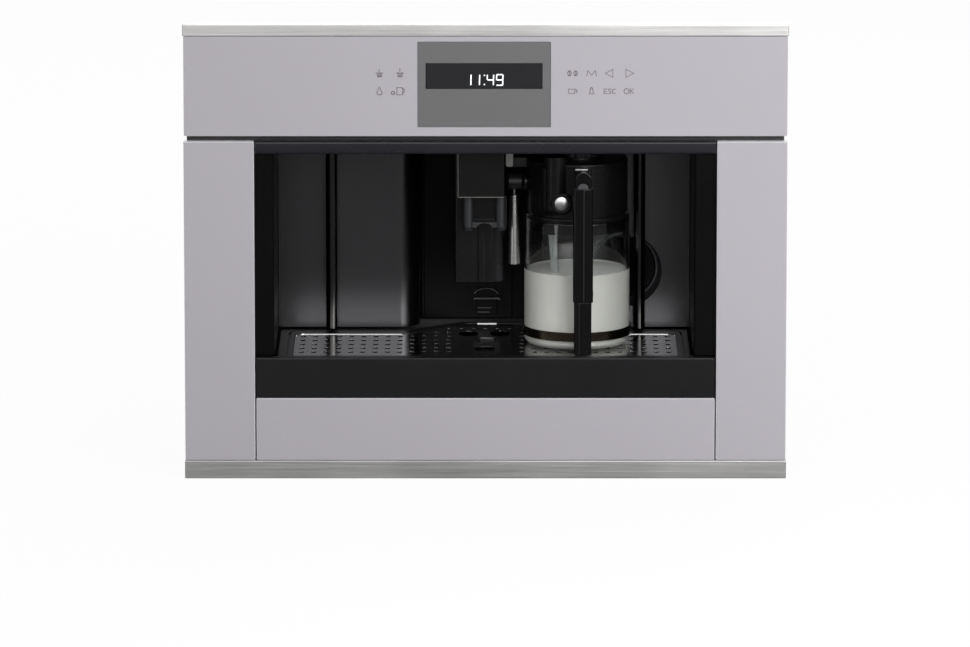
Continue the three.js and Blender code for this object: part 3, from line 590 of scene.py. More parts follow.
# Each symbol is a few thin lines, about ten millimetres wide, round its own middle.
def makeKeys():
    face = span("control_panel").face
    (x1, x2), (r1, r2, r3, r4) = panelLook["leftKeys"], panelLook["rightKeys"]
    top, low = panelLook["rows"]
    mug = [[(-3.1, 3.5), (2.6, 3.5), (2.6, -3.5), (-3.1, -3.5), (-3.1, 3.5)],
           arcLine(2.6, 0.6, 1.7, 2.0, -90, 90, 8), arcLine(-6.9, -1.6, 1.7, 1.6, 0, 360, 12)]
    cup = [[(-4.2, 2.04), (-3.48, -2.28), (1.8, -2.28), (2.52, 2.04), (-4.2, 2.04)],
           arcLine(2.88, 0.12, 1.56, 1.44, -80, 80, 6)]
    drop = [[(0, 4), (-2.4, -0.6)], arcLine(0, -1.2, 2.6, 2.4, 165, 375, 10), [(2.4, -0.6), (0, 4)]]
    bell = [[(-2.6, -2.6), (2.6, -2.6)], [(-1.8, -2.4), (-1.2, 2)], arcLine(0, 2, 1.2, 1.6, 180, 0, 8),
            [(1.2, 2), (1.8, -2.4)]]
    keys = {
        "keyOneCup": (fullCup(3.9), x1, top), "keyTwoCups": (fullCup(4.9), x2, top),
        "keyRinse": (drop, x1, low), "keyStrength": (mug, x2, low),
        "keyTwoBeans": (bean(-3) + bean(3), r1, top), "keyMenu": (word("M", -4.8, -2.8), r2, top),
        "keyBack": ([[(3, 4), (-4.4, 0), (3, -4), (3, 4)]], r3, top),
        "keyNext": ([[(-3.9, 4), (3.9, 0), (-3.9, -4), (-3.9, 4)]], r4, top),
        "keyLongCup": (cup, r1, low), "keySteam": (bell, r2, low),
        "keyEscape": (word("ESC", -5.6, -2.3), r3, low), "keyOkay": (word("OK", -5.2, -2.6, 5.6), r4, low),
    }
    for name, (lines, x, z) in keys.items():
        bm = ribbons(lines, x, z, face, panelLook["stroke"], panelLook["proud"])
        piece(name, bm, "machine", "lilac_glass", material=keyPrint)


makeClock()
makeKeys()
print("control panel marked")


# ---------- front: glass panels, trims and bars ----------

frontLook = {"panelEdge": 1.1, "trimEdge": 0.9, "barEdge": 2.4, "trayBarEdge": 1.6,
             "controlCorner": 1.4, "controlEdge": 0.7, "pocketGap": 0.3, "pocketCorner": 0.6}


# A block as large as its node.
def frontBlock(node, name, body, slotName, edge, segments, material=None):
    s = span(node)
    bm = slab(s.left, s.right, s.face, s.back, s.foot, s.top, edge, segments)
    piece(name, bm, body, slotName, node, material=material)


def makeFront():
    look = frontLook
    for node, name in (("left_column_panel", "leftColumnGlass"), ("right_column_panel", "rightColumnGlass"),
                       ("lower_front_panel", "lowerFrontGlass")):
        frontBlock(node, name, "machine", "lilac_glass", look["panelEdge"], 4)
    s, pocket, gap = span("control_panel"), span("display_bezel"), look["pocketGap"]
    hole = rectangle(pocket.left - gap, pocket.right + gap, pocket.foot - gap, pocket.top + gap,
                     look["pocketCorner"], 2)
    bm = pulled(rectangle(s.left, s.right, s.foot, s.top, look["controlCorner"]), s.back, s.face, "front",
                look["controlEdge"], 3, [hole])
    piece("controlPanelGlass", bm, "machine", "lilac_glass", "control_panel")
    frontBlock("top_trim", "topTrimSteel", "machine", "trim_steel", look["trimEdge"], 3)
    frontBlock("bottom_trim", "bottomTrimSteel", "machine", "trim_steel", look["trimEdge"], 3, shadedFootSteel)
    frontBlock("niche_top_bar", "nicheTopBar", "machine", "charcoal_bar", look["barEdge"], 4)
    frontBlock("drip_tray_front", "trayFrontBar", "tray", "tray_black", look["trayBarEdge"], 4)


makeFront()


# ---------- niche: back panels, finger recess, pull bars, dock ----------

nicheLook = {"sheet": 2.4, "leftCorner": 24, "rightCorner": 6, "panelEdge": 0.35, "recessX": 140.6,
             "recessZ": 182, "recessRadius": 37, "recessFloor": 33.2, "recessDeep": 20}
barLook = {"corner": 5.4, "back": 154, "edge": 0.8, "feet": (126, 311), "footHalf": 4, "footFace": 150,
           "footTall": 13.5}
dockLook = {"corner": 9, "bodyDeep": 15, "noseX": 73, "noseZ": 262,
            "nose": [(0, 0), (5, 0), (5, 11), (7.5, 13), (7.5, 16), (0, 16)]}
lampLook = {"half": 44, "face": 60, "back": 72, "corner": 5, "proud": 1.2}


def cornerOutline(outer, end, radius, face, back):
    t = nicheLook["sheet"]
    inner = end - t if end > outer else end + t
    outside = [(outer, face), (end, face), (end, back), (inner, back), (inner, face + t), (outer, face + t)]
    return rounded(outside, [0, radius, 0, 0, max(radius - t, 0.5), 0], 14)


def makeBackPanels():
    look = nicheLook
    s = span("left_back_panel")
    bm = pulled(cornerOutline(s.left, s.right, look["leftCorner"], s.face, s.back), s.foot, s.top, "top",
                look["panelEdge"], 2)
    piece("leftBackPanel", bm, "machine", "dark_steel", "left_back_panel")
    s = span("right_back_panel")
    bm = pulled(cornerOutline(s.right, s.left, look["rightCorner"], s.face, s.back), s.foot, s.top, "top",
                look["panelEdge"], 2)
    hole = rod(look["recessRadius"], at(look["recessX"], s.face - 4, look["recessZ"]), 10, "Y", 96, 0)
    piece("rightBackPanel", carved(bm, hole), "machine", "dark_steel", "right_back_panel")
    dish = span("finger_recess")
    r, deep, floor = look["recessRadius"] - 0.2, look["recessDeep"], look["recessFloor"]
    centre = at(dish.x, s.face, look["recessZ"])
    wall = [(floor - 2, deep), (floor, deep), (r - 0.5, 0.3), (r, -0.5), (r, 3), (floor + 1.2, deep + 2),
            (floor - 2, deep + 2)]
    piece("recessWall", spun(wall, [0, 1.5, 0.6, 0.2, 2, 2, 0], centre, "Y", 96, 5, True), "machine",
          "niche_black", "finger_recess", material=finishes["recess_steel"])
    disc = [(0, deep - 1.2), (floor - 3, deep - 0.6), (floor - 1.6, deep + 1.5), (0, deep + 1.5)]
    piece("recessFloor", spun(disc, [0, 1, 0.6, 0], centre, "Y"), "machine", "niche_black", "finger_recess")


def makePullBars():
    look = barLook
    for node, name in (("pull_handle_left", "leftPullBar"), ("pull_handle_right", "rightPullBar")):
        s = span(node)
        outline = rectangle(s.left, s.right, s.face, look["back"], look["corner"], 10)
        parts = [pulled(outline, s.foot + 0.2, s.top, "top", look["edge"], 3)]
        for low in look["feet"]:
            parts.append(slab(s.x - look["footHalf"], s.x + look["footHalf"], look["footFace"], s.back, low,
                              low + look["footTall"], 1.5, 3))
        piece(name, parts, "machine", "bar_black", node, material=barSteel)


def makeDock():
    s, look = span("milk_dock"), dockLook
    body = pulled(rectangle(s.left, s.right, s.foot, s.top, look["corner"], 8), s.back,
                  s.face + look["bodyDeep"], "front", 1.5, 3)
    nose = spun(look["nose"], [0, 1, 1, 1, 0.5, 0], at(look["noseX"], s.face, look["noseZ"]), "Y", 48)
    piece("milkDock", [body, nose], "machine", "niche_black", "milk_dock")


# Lamp strip under the niche ceiling.
def makeCeilingLamp():
    under, look = span("niche_ceiling").foot, lampLook
    outline = rectangle(-look["half"], look["half"], look["face"], look["back"], look["corner"], 6)
    bm = pulled(outline, under + 0.2, under - look["proud"], "top", 0.5, 2)
    piece("nicheLamp", bm, "machine", "niche_black", material=finishes["float_grey"])


makeBackPanels()
makePullBars()
makeDock()
makeCeilingLamp()
print("niche lined")


# ---------- service door, spout column and spout ----------

doorLook = {"left": -62, "thick": 4.6, "knuckles": 4, "knuckleRadius": 2.1, "knuckleDepth": 203.3,
            "knuckleGap": 0.6, "pad": (-9, 12, 129, 144.5), "ribLeft": -8.4,
            "ribs": ((136.6, 6.4), (132.2, 4.4)),
            "ledge": [(-12.3, 143.8), (-10.6, 145.2), (13.6, 145.2), (15.3, 143.8), (15.3, 146.4),
                      (13.6, 147.6), (-10.6, 147.6), (-12.3, 146.4)],
            "archX": 0.7, "archZ": 150.2, "archOuter": (12.6, 6.9), "archInner": (10.8, 5.4)}
spoutLook = {"columnLeft": 3.5, "columnRight": 14, "columnBack": 8, "columnInset": 4, "guide": (-7, -1),
             "plate": 4.5, "groove": 1.0, "headEdge": 0.9, "slot": (-7.5, -0.5),
             "nozzle": 5.9, "bore": 3.4, "boreDeep": 15, "nozzleX": (-17.1, 15.1),
             "bridgeFoot": 241, "bridgeTop": 249, "archRadius": 9.5, "archZ": 236.6}


def makeDoor():
    s, look = span("service_door"), doorLook
    leafFace, gap = s.back - look["thick"], look["knuckleGap"]
    parts = [pulled(rectangle(look["left"], s.right, s.foot, s.top, 2, 4), s.back, leafFace, "front", 0.6, 3)]
    length = (s.top - s.foot) / look["knuckles"]
    for k in range(look["knuckles"]):
        foot = at(s.left + look["knuckleRadius"], look["knuckleDepth"], s.foot + k * length + gap / 2)
        parts.append(rod(look["knuckleRadius"], foot, length - gap, "Z", 32, 0.3))
    parts.append(pulled(rectangle(*look["pad"], 3, 5), leafFace + 0.2, leafFace - 2, "front", 0.7, 3))
    piece("serviceDoor", parts, "door", "niche_black", "service_door")
    # finger grip: ribs, ledge with turned ends, arched bead
    parts = [pulled(rectangle(look["ribLeft"], reach, z - 0.8, z + 0.8, 0.7, 3), leafFace, leafFace - 3.4,
                    "front", 0.5, 3) for z, reach in look["ribs"]]
    parts.append(pulled(rounded(look["ledge"], 0.6, 3), leafFace + 0.2, leafFace - 4.4, "front", 0.8, 4))
    x, z = look["archX"], look["archZ"]
    arch = arcLine(x, z, *look["archOuter"], 180, 0, 24) + arcLine(x, z, *look["archInner"], 0, 180, 24)
    parts.append(pulled(arch, leafFace + 0.2, leafFace - 1.8, "front", 0.5, 3))
    piece("doorGrip", parts, "door", "niche_black", material=finishes["bar_black"])


def makeColumn():
    s, look = span("spout_column"), spoutLook
    near, back = s.face + look["columnInset"], look["columnBack"]
    outline = rounded([(s.left, near), (s.right, near), (s.right, s.back), (s.left, s.back)],
                      [look["columnLeft"], look["columnRight"], back, back], 12)
    guide = rectangle(*look["guide"], s.face, near + 4, 0.8, 3)
    parts = [pulled(outline, s.foot, s.top, "top", 1.0, 3),
             pulled(guide, s.foot + 2, s.top - 0.2, "top", 0.3, 2)]
    piece("spoutColumn", parts, "door", "bar_black", "spout_column", material=columnGloss)


def makeSpoutHead():
    s, look = span("coffee_spout_head"), spoutLook
    edge, plateBack = look["headEdge"], s.face + look["plate"]
    plate = pulled(rectangle(s.left, s.right, s.face, plateBack, 1.6, 6), s.foot, s.top - 0.2, "top", edge, 4)
    core = slab(s.left + 1.2, s.right - 1.2, s.face + 3, s.face + 9, s.foot + 0.8, s.top - 1, 0.2, 1)
    sleeve = pulled(rectangle(s.left, s.right, plateBack + look["groove"], s.back, 5, 8), s.foot, s.top - 0.2,
                    "top", edge, 4)
    slot = slab(*look["slot"], s.back - 4, s.back + 2, s.foot - 2, s.top + 2, 0)
    piece("spoutHead", [plate, core, carved(sleeve, slot)], "coffee_spout", "bar_black", "coffee_spout_head",
          material=spoutMetal)
    # thin paler strips along the head's bottom and left edges: painted highlights
    lines = [slab(x0, x1, s.face - 0.25, s.face + 1.2, s.foot + 0.1, z1, 0.2, 2)
             for x0, x1, z1 in ((s.left + 0.8, s.right - 0.8, s.foot + 0.9),
                                (s.left + 0.4, s.left + 1.2, s.top - 1))]
    piece("headEdgeHighlights", lines, "coffee_spout", "bar_black", material=edgeHighlightMetal)


def makeNozzles():
    s, look = span("coffee_nozzles"), spoutLook
    r, bore, low, top = look["nozzle"], look["bore"], look["bridgeFoot"], look["bridgeTop"]
    left, right = look["nozzleX"]
    roof = s.foot + look["boreDeep"]
    profile = [(0, roof), (bore, roof), (bore, s.foot), (r - 0.9, s.foot), (r, s.foot + 4), (r, s.top),
               (0, s.top)]
    radii = [0, 0.5, 0.4, 0.5, 1.5, 0.3, 0]
    parts = [spun(profile, radii, at(x, s.depth, 0), "Z", 64) for x in (left, right)]
    web = slab(left + r - 1.5, right - r + 1.5, s.depth + 1, s.depth + 4, top - 4, s.top - 0.3, 0.3, 2)
    shape = rounded([(66.8, low), (76, low), (76, top), (70.5, top), (66.8, 246.5)], 0.7, 4)
    bridge = pulled(shape, left + r - 2, right - r + 2, "side", 0.2, 1)
    arch = rod(look["archRadius"], at((left + right) / 2, 60, look["archZ"]), 24, "Y", 64, 0)
    parts.append(carved(bridge, arch))
    piece("nozzleWeb", web, "coffee_spout", "bar_black")
    piece("coffeeNozzles", parts, "coffee_spout", "bar_black", "coffee_nozzles", material=spoutGloss)


makeDoor()
makeColumn()
makeSpoutHead()
makeNozzles()
print("spout and door made")


# ---------- drip tray, grid and float ----------

trayLook = {"side": 133, "pitchX": 12.15, "pitchD": 20.9, "firstX": -182.5, "firstD": 36,
            "slotWidth": 5.2, "slotLength": 7.4, "slotCorner": 1.7, "columns": 31, "rows": 7,
            "ovals": ((-17, 136, 10, 15), (14.7, 136, 10, 15), (-1, 53, 11, 14)),
            "window": (-6.4, 9.4, 89, 113), "plainX": -1, "plainHalf": 30, "plainBack": 160,
            "lip": (-8.4, 11.3), "rimFront": 118,
            "basinSide": 159, "wall": 2.4, "wellFloor": 116}
bay = {"x": 8, "flat": 22, "reach": 92, "steps": 16}
floatLook = {"buoyTall": 14, "stem": (-5.7, 8.7, 89.8, 112.2)}


# Back edge of the tray, deeper in front of the door.
def bayDepth(x, side, centre):
    t = (bay["reach"] - abs(x - bay["x"])) / (bay["reach"] - bay["flat"])
    t = min(max(t, 0), 1)
    return side + (centre - side) * t * t * (3 - 2 * t)


def trayOutline(left, right, near, side, centre, corner, frontCorner):
    steps = bay["steps"]
    reaches = [bay["flat"] + (bay["reach"] - bay["flat"]) * k / steps for k in range(steps + 1)]
    xs = [bay["x"] + r for r in reversed(reaches)] + [bay["x"] - r for r in reaches]
    back = [(x, bayDepth(x, side, centre)) for x in xs]
    points = [(left, near), (right, near), (right, side), *back, (left, side)]
    return rounded(points, [frontCorner, frontCorner, corner] + [0] * len(back) + [corner], 8)


def makeGrid():
    s, look = span("drip_grid"), trayLook
    w, l, side = look["slotWidth"] / 2, look["slotLength"] / 2, look["side"]
    holes = []
    for x in (look["firstX"] + k * look["pitchX"] for k in range(look["columns"])):
        for d in (look["firstD"] + k * look["pitchD"] for k in range(look["rows"])):
            plain = abs(x - look["plainX"]) < look["plainHalf"] and d < look["plainBack"]
            if not plain and d <= bayDepth(x, side, s.back) - 2 * l - 2:
                holes.append(rectangle(x - w, x + w, d - l, d + l, look["slotCorner"], 4))
    holes += [arcLine(x, d, rx, rd, 0, 350, 35) for x, d, rx, rd in look["ovals"]]
    holes.append(rectangle(*look["window"], 2.5, 5))
    sheet = pulled(trayOutline(s.left, s.right, s.face, side, s.back, 9.5, 3), s.foot, s.top, "top", 0.12, 2,
                   holes)
    lip = slab(*look["lip"], s.back - 1.6, s.back, s.foot, s.top + 0.9, 0.4, 3)

    # low raised rim along the back edge, on one side of the bay
    def backEdge(way, inset, corner):
        line = trayOutline(s.left + inset, s.right - inset, s.face, side - inset, s.back - inset, corner, 3)
        return [(x, d) for x, d in line if d > look["rimFront"] and (x - bay["x"]) * way > bay["reach"] - 1]

    rims = [pulled(backEdge(way, 0.2, 9.3) + backEdge(way, 1.2, 8.3)[::-1], s.top - 0.2, s.top + 0.45,
                   "top", 0.2, 2) for way in (-1, 1)]
    piece("dripGrid", [sheet, lip, *rims], "tray", "grid_steel", "drip_grid", sharpAngle=40)


def makeTray():
    s, grid, look = span("drip_tray"), span("drip_grid"), trayLook
    side, back, wall = look["side"], look["basinSide"], look["wall"]
    over = s.top + 1
    body = pulled(trayOutline(s.left, s.right, s.face, back, s.back, 8, 4), s.foot, s.top, "top", 0.8, 3)

    # outline that follows the grid's edge at a distance
    def around(gap, corner):
        return trayOutline(grid.left - gap, grid.right + gap, grid.face - gap, side + gap, grid.back + gap,
                           corner, 3)

    low = trayOutline(s.left + wall, s.right - wall, s.face + 1.4, back - wall, s.back - wall, 6, 3)
    lowWell = pulled(low, s.foot + wall, look["wellFloor"])
    well = pulled(around(-4, 6), s.foot + 2.2, over)
    seat = pulled(around(0.5, 10), grid.foot - 0.3, over)
    inner = trayOutline(grid.left - 4.8, grid.right + 4.8, 9.4, 148.1, 194.9, 12.3, 3)
    outer = trayOutline(grid.left - 6.7, grid.right + 6.7, 7.6, 150.2, 196.8, 14.2, 3)
    groove = pulled(outer, s.top - 2.2, over, holes=[inner])
    piece("dripTray", carved(body, lowWell, well, seat, groove), "tray", "tray_black", "drip_tray")


def makeFloat():
    s, tall = span("tray_float"), floatLook["buoyTall"]
    buoy = pulled(rectangle(s.left, s.right, s.face, s.back, 4, 6), s.foot, s.foot + tall, "top", 1, 3)
    stem = pulled(rectangle(*floatLook["stem"], 2, 5), s.foot + tall - 1, s.top, "top", 0.5, 3)
    piece("trayFloat", [buoy, stem], "float", "float_grey", "tray_float")


makeGrid()
makeTray()
makeFloat()
print("tray made")


# ---------- milk jug ----------

jugLook = {"wall": 2.5, "heel": 7.5, "milkTop": 197, "bandDepth": 86, "bandPad": (90, 102),
           "bandPadBack": 33.2}
handleLook = {"stemRidge": 0.3, "stemRise": 2.2, "gripRidge": 0.54, "gripRise": 2.8, "shoulder": 290.5,
              "headX": 96.7, "headReach": 7.9, "headTop": 307.4, "keyRadius": 5.4, "gripHighlight": 0.45,
              "stemHighlight": 0.3}
lidLook = {"plugFoot": 238, "top": 311, "flutes": 96, "fluteDeep": 0.14, "ring": (22.6, 26),
           "shell": (68.6, 50, 15.6, 307), "cap": (69.8, 44, 12.2, 317.5),
           "socket": (89.5, 104.5, 272, 306.5), "buttonX": 75.2, "buttonZ": 271.6, "buttonRadius": 7.2,
           "collar": 11.3, "collarDeep": 20, "bossX": 37.4, "ribsX": 41, "ribPitch": 3.2, "ribRadius": 9.9,
           "ear": (27.6, 303.6, 320.5)}
pivotZ = 285    # height of the axis on which the froth tube swings


def makeJugGlass():
    s, heel = span("jug_glass"), jugLook["heel"]
    r, foot, centre = s.width / 2, s.foot, at(s.x, s.depth, 0)
    inner = r - jugLook["wall"]
    glass = [(0, foot + 1.2), (r - 18, foot + 1.2), (r - 15, foot), (r, foot), (r, s.top), (inner, s.top),
             (inner, foot + 3.4), (0, foot + 3.4)]
    piece("jugGlass", spun(glass, [0, 2, 2, heel, 1.1, 1.1, heel - 2.5, 0], centre, "Z", 128, 9), "milk_jug",
          "jug_glass", "jug_glass")
    # the milk reaches a little into the glass wall, so that no air shows between them
    reach, top = inner + 0.25, jugLook["milkTop"]
    milk = [(0, foot + 3.1), (reach, foot + 3.1), (reach, top + 1.3), (inner - 1.2, top), (0, top)]
    piece("milk", spun(milk, [0, heel - 2.2, 0.05, 1.5, 0], centre, "Z", 128, 9), "milk_jug", "jug_glass",
          material=milkWhite)


def makeBand():
    s, look = span("jug_band"), jugLook
    inner, outer = span("jug_glass").width / 2 + 0.15, s.width / 2
    ring = [(inner, s.foot), (outer - 0.4, s.foot), (outer, s.foot + 0.4), (outer, s.top - 0.4),
            (outer - 0.4, s.top), (inner, s.top)]
    parts = [spun(ring, 0.2, at(s.x, look["bandDepth"], 0), "Z", 128, 2, True),
             slab(*look["bandPad"], s.face, look["bandPadBack"], s.foot + 0.5, s.top - 0.5, 0.8, 3)]
    piece("jugBand", parts, "milk_jug", "band_bronze", "jug_band")


# Ridge-fronted bar in plan: two shallow facets that meet in front, at a share of the width.
def ridgedOutline(left, right, face, back, rise, corner, share):
    middle = left + (right - left) * share
    points = [(left, face + rise), (middle, face), (right, face + rise), (right, back), (left, back)]
    return rounded(points, [corner, 0.5, corner, corner, corner], 6)


def makeHandle():
    s, g, look = span("handle_stem"), span("handle_grip"), handleLook
    outline = ridgedOutline(s.left, s.right, s.face, s.back, look["stemRise"], 2.6, look["stemRidge"])
    piece("handleStem", pulled(outline, s.foot, s.top, "top", 0.8, 3), "milk_jug", "jug_black", "handle_stem")
    left, right, shoulder = g.left - 1.1, g.right - 0.9, look["shoulder"]
    outline = ridgedOutline(left, right, g.face, g.back, look["gripRise"], 3.2, look["gripRidge"])
    parts = [pulled(outline, g.foot, shoulder, "top", 0.9, 4)]
    # hinge head over the grip, round on top
    x, reach, top = look["headX"], look["headReach"], look["headTop"]
    head = [(x - reach, shoulder - 4), (x + reach, shoulder - 4),
            *arcLine(x, top - reach, reach, reach, 0, 180, 24)]
    parts.append(pulled(head, g.back, g.face + 2.2, "front", 0.7, 3))
    parts += [rod(2.2, at(right - 0.6, 11, z), 0.9, "X", 24, 0.3) for z in (g.foot + 8, shoulder - 8)]
    piece("handleGrip", parts, "milk_jug", "jug_black", "handle_grip")
    # half-round key where the grip meets its head, and a thin paler line down the ridges that is a painted
    # highlight
    radius = look["keyRadius"]
    key = arcLine(x - 0.6, shoulder + 0.2, radius, radius, 0, 180, 24)
    piece("handleKey", pulled(key, g.face + 3, g.face + 1.1, "front", 0.4, 3), "milk_jug", "jug_black",
          material=finishes["float_grey"])
    ridge, half = left + (right - left) * look["gripRidge"], look["gripHighlight"]
    lines = [slab(ridge - half, ridge + half, g.face - 0.2, g.face + 1, g.foot + 1.2, shoulder - 1.2,
                  0.15, 2)]
    ridge, half = s.left + s.width * look["stemRidge"], look["stemHighlight"]
    lines.append(slab(ridge - half, ridge + half, s.face - 0.1, s.face + 1, s.foot + 1, s.top - 1, 0.1, 2))
    piece("handleRidgeHighlights", lines, "milk_jug", "jug_black", material=ridgeHighlight)
    latch = slab(x - 8.4, x + 4, g.face + 10, g.face + 15, top + 0.1, top + 2.2, 0.7, 3)
    piece("latchBar", latch, "milk_jug", "jug_black", material=screwSteel)


def makeLid():
    s, look = span("jug_glass"), lidLook
    r, centre, rim, top = s.width / 2, at(s.x, s.depth, 0), s.top + 0.3, lidLook["top"]
    plugWall, low = r - jugLook["wall"] - 0.7, look["plugFoot"]
    plug = [(0, low), (plugWall, low), (plugWall, rim), (r, rim), (r, rim + 4.6), (r - 2.6, rim + 5.6),
            (r - 2.6, rim + 8), (0, rim + 8)]
    parts = [spun(plug, [0, 1.2, 0.2, 0.8, 1, 0.6, 0.2, 0], centre, "Z", 128)]
    # fluted wall of the drum
    wave = look["fluteDeep"] / 2
    parts.append(pulled(wavyRing(s.x, s.depth, r - 1.9 - wave, wave, look["flutes"], 4), rim + 7, top - 4))
    crown = [(0, top - 5), (r - 1.6, top - 5), (r - 1.6, top - 2), (r - 4.5, top), (0, top)]
    parts.append(spun(crown, [0, 0.5, 1.5, 2, 0], centre, "Z", 128, 5))
    near, far = look["ring"]
    ring = [(near, top - 0.5), (far, top - 0.5), (far, top + 1.4), (near, top + 1.4)]
    parts.append(spun(ring, 0.5, centre, "Z", 96, 3, True))
    x, d, reach, high = look["shell"]
    shell = [(0, 258), (reach - 5, 258), (reach, 264), (reach, high - 1), (reach - 2, high), (0, high)]
    parts.append(spun(shell, [0, 2, 5, 0.8, 0.8, 0], at(x, d, 0), "Z", 72, 5))
    x, d, reach, high = look["cap"]
    cap = [(0, 261), (reach - 3, 261), (reach, 264), (reach, high), (0, high)]
    parts.append(spun(cap, [0, 1.5, 3, 1.2, 0], at(x, d, 0), "Z", 72, 5))
    left, right, foot, high = look["socket"]
    parts.append(slab(left, right, span("handle_grip").back + 0.6, 54, foot, high, 2.2, 4))
    inner, outer, deep = look["buttonRadius"] + 0.5, look["collar"], look["collarDeep"]
    collar = [(inner, 5), (inner, 0), (outer - 1.6, 0), (outer, 2.5), (outer + 0.4, deep), (0, deep), (0, 5)]
    parts.append(spun(collar, [0, 0.5, 0.5, 1.2, 0, 0, 0], at(look["buttonX"], 31, look["buttonZ"]), "Y", 64,
                      4, True))
    boss = [(0, 0), (8.2, 0), (9.4, 1.6), (9.4, 22), (0, 22)]
    parts.append(spun(boss, [0, 0.6, 0.6, 0, 0], at(look["bossX"], s.depth, pivotZ), "X", 64))
    ribs = [at(look["ribsX"] + look["ribPitch"] * k, s.depth, pivotZ) for k in range(3)]
    parts += [rod(look["ribRadius"], place, 1.2, "X", 64, 0.4) for place in ribs]
    piece("jugLid", parts, "milk_jug", "jug_black", "jug_lid", material=lidGloss)
    screen, (right, foot, high) = span("coffee_spout_head"), look["ear"]
    ear = pulled(rectangle(screen.right + 0.8, right, foot, high, 2.4, 6), 96, screen.face + 0.4, "front",
                 1.4, 4)
    piece("frothHousing", slab(26, 42, 80, 92, 300, 310, 1, 2), "milk_jug", "jug_black", material=hubBlack)
    piece("frothCover", ear, "milk_jug", "jug_black", material=coverSteel)


def makeButton():
    s = span("release_button")
    r = s.width / 2
    profile = [(0, -0.2), (3.4, 0.25), (5.4, 0.7), (r - 0.5, 1.2), (r, 2.2), (r, 12), (0, 12)]
    bm = spun(profile, [0, 2, 2, 0.6, 0.6, 0.2, 0], at(s.x, s.face, s.z), "Y", 64, 5)
    piece("releaseButton", bm, "jug_button", "chrome", "release_button", material=buttonSteel)


dialLook = {"lobes": 20, "radius": 21.9, "wave": 0.5, "tall": 6.4,
            "cap": [(0, 5), (19.4, 5), (18.6, 7.2), (0, 7.6)],
            "gripHalf": 3, "gripFront": 19, "gripBack": 10}


def makeDial():
    s, look = span("froth_knob"), dialLook
    ring = wavyRing(s.x, s.depth, look["radius"], look["wave"], look["lobes"], 8)
    parts = [pulled(ring, s.foot, s.foot + look["tall"], "top", 0.7, 3),
             spun(look["cap"], [0, 0.5, 1, 0], at(s.x, s.depth, s.foot)),
             slab(s.x - look["gripHalf"], s.x + look["gripHalf"], s.depth - look["gripFront"],
                  s.depth + look["gripBack"], s.foot + 6, s.top, 1.2, 3)]
    piece("frothDial", parts, "froth_dial", "knob_grey", "froth_knob")


def makeFroth():
    elbow, tube = span("froth_elbow"), span("froth_tube")
    end, foot = elbow.width - 0.4, elbow.foot
    hub = spun([(0, 0), (6.6, 0), (8, 1.6), (8, end), (0, end)], [0, 1.2, 1.2, 0.5, 0],
               at(elbow.left, elbow.depth, pivotZ), "X", 64, 5)
    piece("frothElbow", hub, "froth_spout", "jug_black", "froth_elbow", material=hubBlack)
    neck = spun([(0, foot), (2.2, foot), (2.2, 280), (3.6, 281.5), (3.6, 284), (0, 284)],
                [0, 0.4, 0.8, 1.2, 1.4, 0], at(tube.x, elbow.depth, 0), "Z", 48, 5)
    piece("frothNeck", neck, "froth_spout", "chrome", "froth_elbow")
    low, high, foot = tube.width / 2, 4.3, tube.foot
    profile = [(0, foot + 9), (low - 1.1, foot + 8), (low - 0.9, foot), (low, foot), (high, tube.top - 1),
               (high - 0.7, tube.top), (0, tube.top)]
    bm = spun(profile, [0, 0.3, 0.3, 0.35, 0.5, 0.4, 0], at(tube.x, tube.depth, 0), "Z", 64)
    piece("frothTube", bm, "froth_spout", "chrome", "froth_tube", material=satinSteel)


strawLook = {"start": (66, 62, 237.2), "end": (75, 70, 131), "bore": 2.5, "radius": 3.7}


def makeStraw():
    start, end = at(*strawLook["start"]), at(*strawLook["end"])
    length, bore, radius = (end - start).length / mm, strawLook["bore"], strawLook["radius"]
    bm = spun([(bore, 0), (radius, 0), (radius, length), (bore, length)], 0.25, Vector(), "Z", 48, 2, True)
    piece("suctionTube", placed(bm, start, end - start), "milk_jug", "tube_clear", "suction_tube")


makeJugGlass()
makeBand()
makeHandle()
makeLid()
makeButton()
makeDial()
makeFroth()
makeStraw()
print("jug made")


# ---------- tank and bean lid on top ----------

tankLook = {"corner": 14, "wall": 2.6, "coverTop": 368, "gripFront": 70, "gripThick": 14, "gripHalf": 42,
            "gripLeg": 8, "gripTop": 376, "gripUnder": 371.6, "line": (52, 56), "lineHalf": 36}
beanLidLook = {"corner": 8, "back": 365, "top": 376.4, "dishEdge": 10, "dishBack": 355, "dishFloor": 375.6,
               "tabHalf": 18, "tab": (372.8, 376), "barrels": (-30, -9, 12),
               "barrel": (2.6, 366.8, 375.2, 18)}


def makeTank():
    s, cover, look = span("water_tank"), span("tank_lid"), tankLook
    c, t, top, half = look["corner"], look["wall"], look["coverTop"], look["gripHalf"]
    shell = pulled(rectangle(s.left, s.right, s.face, s.back, c, 8), s.foot, s.top, "top", 1, 2)
    room = pulled(rectangle(s.left + t, s.right - t, s.face + t, s.back - t, c - t, 8), s.foot + 3, s.top + 2)
    piece("waterTank", carved(shell, room), "tank", "tank_clear", "water_tank")
    near, x, leg = s.face + look["gripFront"], cover.x, half - look["gripLeg"]
    low, high, under = top - 1, look["gripTop"], look["gripUnder"]
    grip = rounded([(x - half, low), (x - half, high), (x + half, high), (x + half, low),
                    (x + leg, low), (x + leg, under), (x - leg, under), (x - leg, low)],
                   [0, 4, 4, 0, 0, 2.5, 2.5, 0], 6)
    line = rectangle(x - look["lineHalf"], x + look["lineHalf"], *[near + d for d in look["line"]], 1.9, 5)
    parts = [pulled(rectangle(cover.left, cover.right, cover.face, cover.back, c, 8), s.top + 0.3, top,
                    "top", 1.2, 3),
             pulled(grip, near + look["gripThick"], near, "front", 0.9, 3),
             pulled(line, top - 0.2, top + 1, "top", 0.3, 2)]
    piece("tankLid", parts, "tank", "tank_grey", "tank_lid")


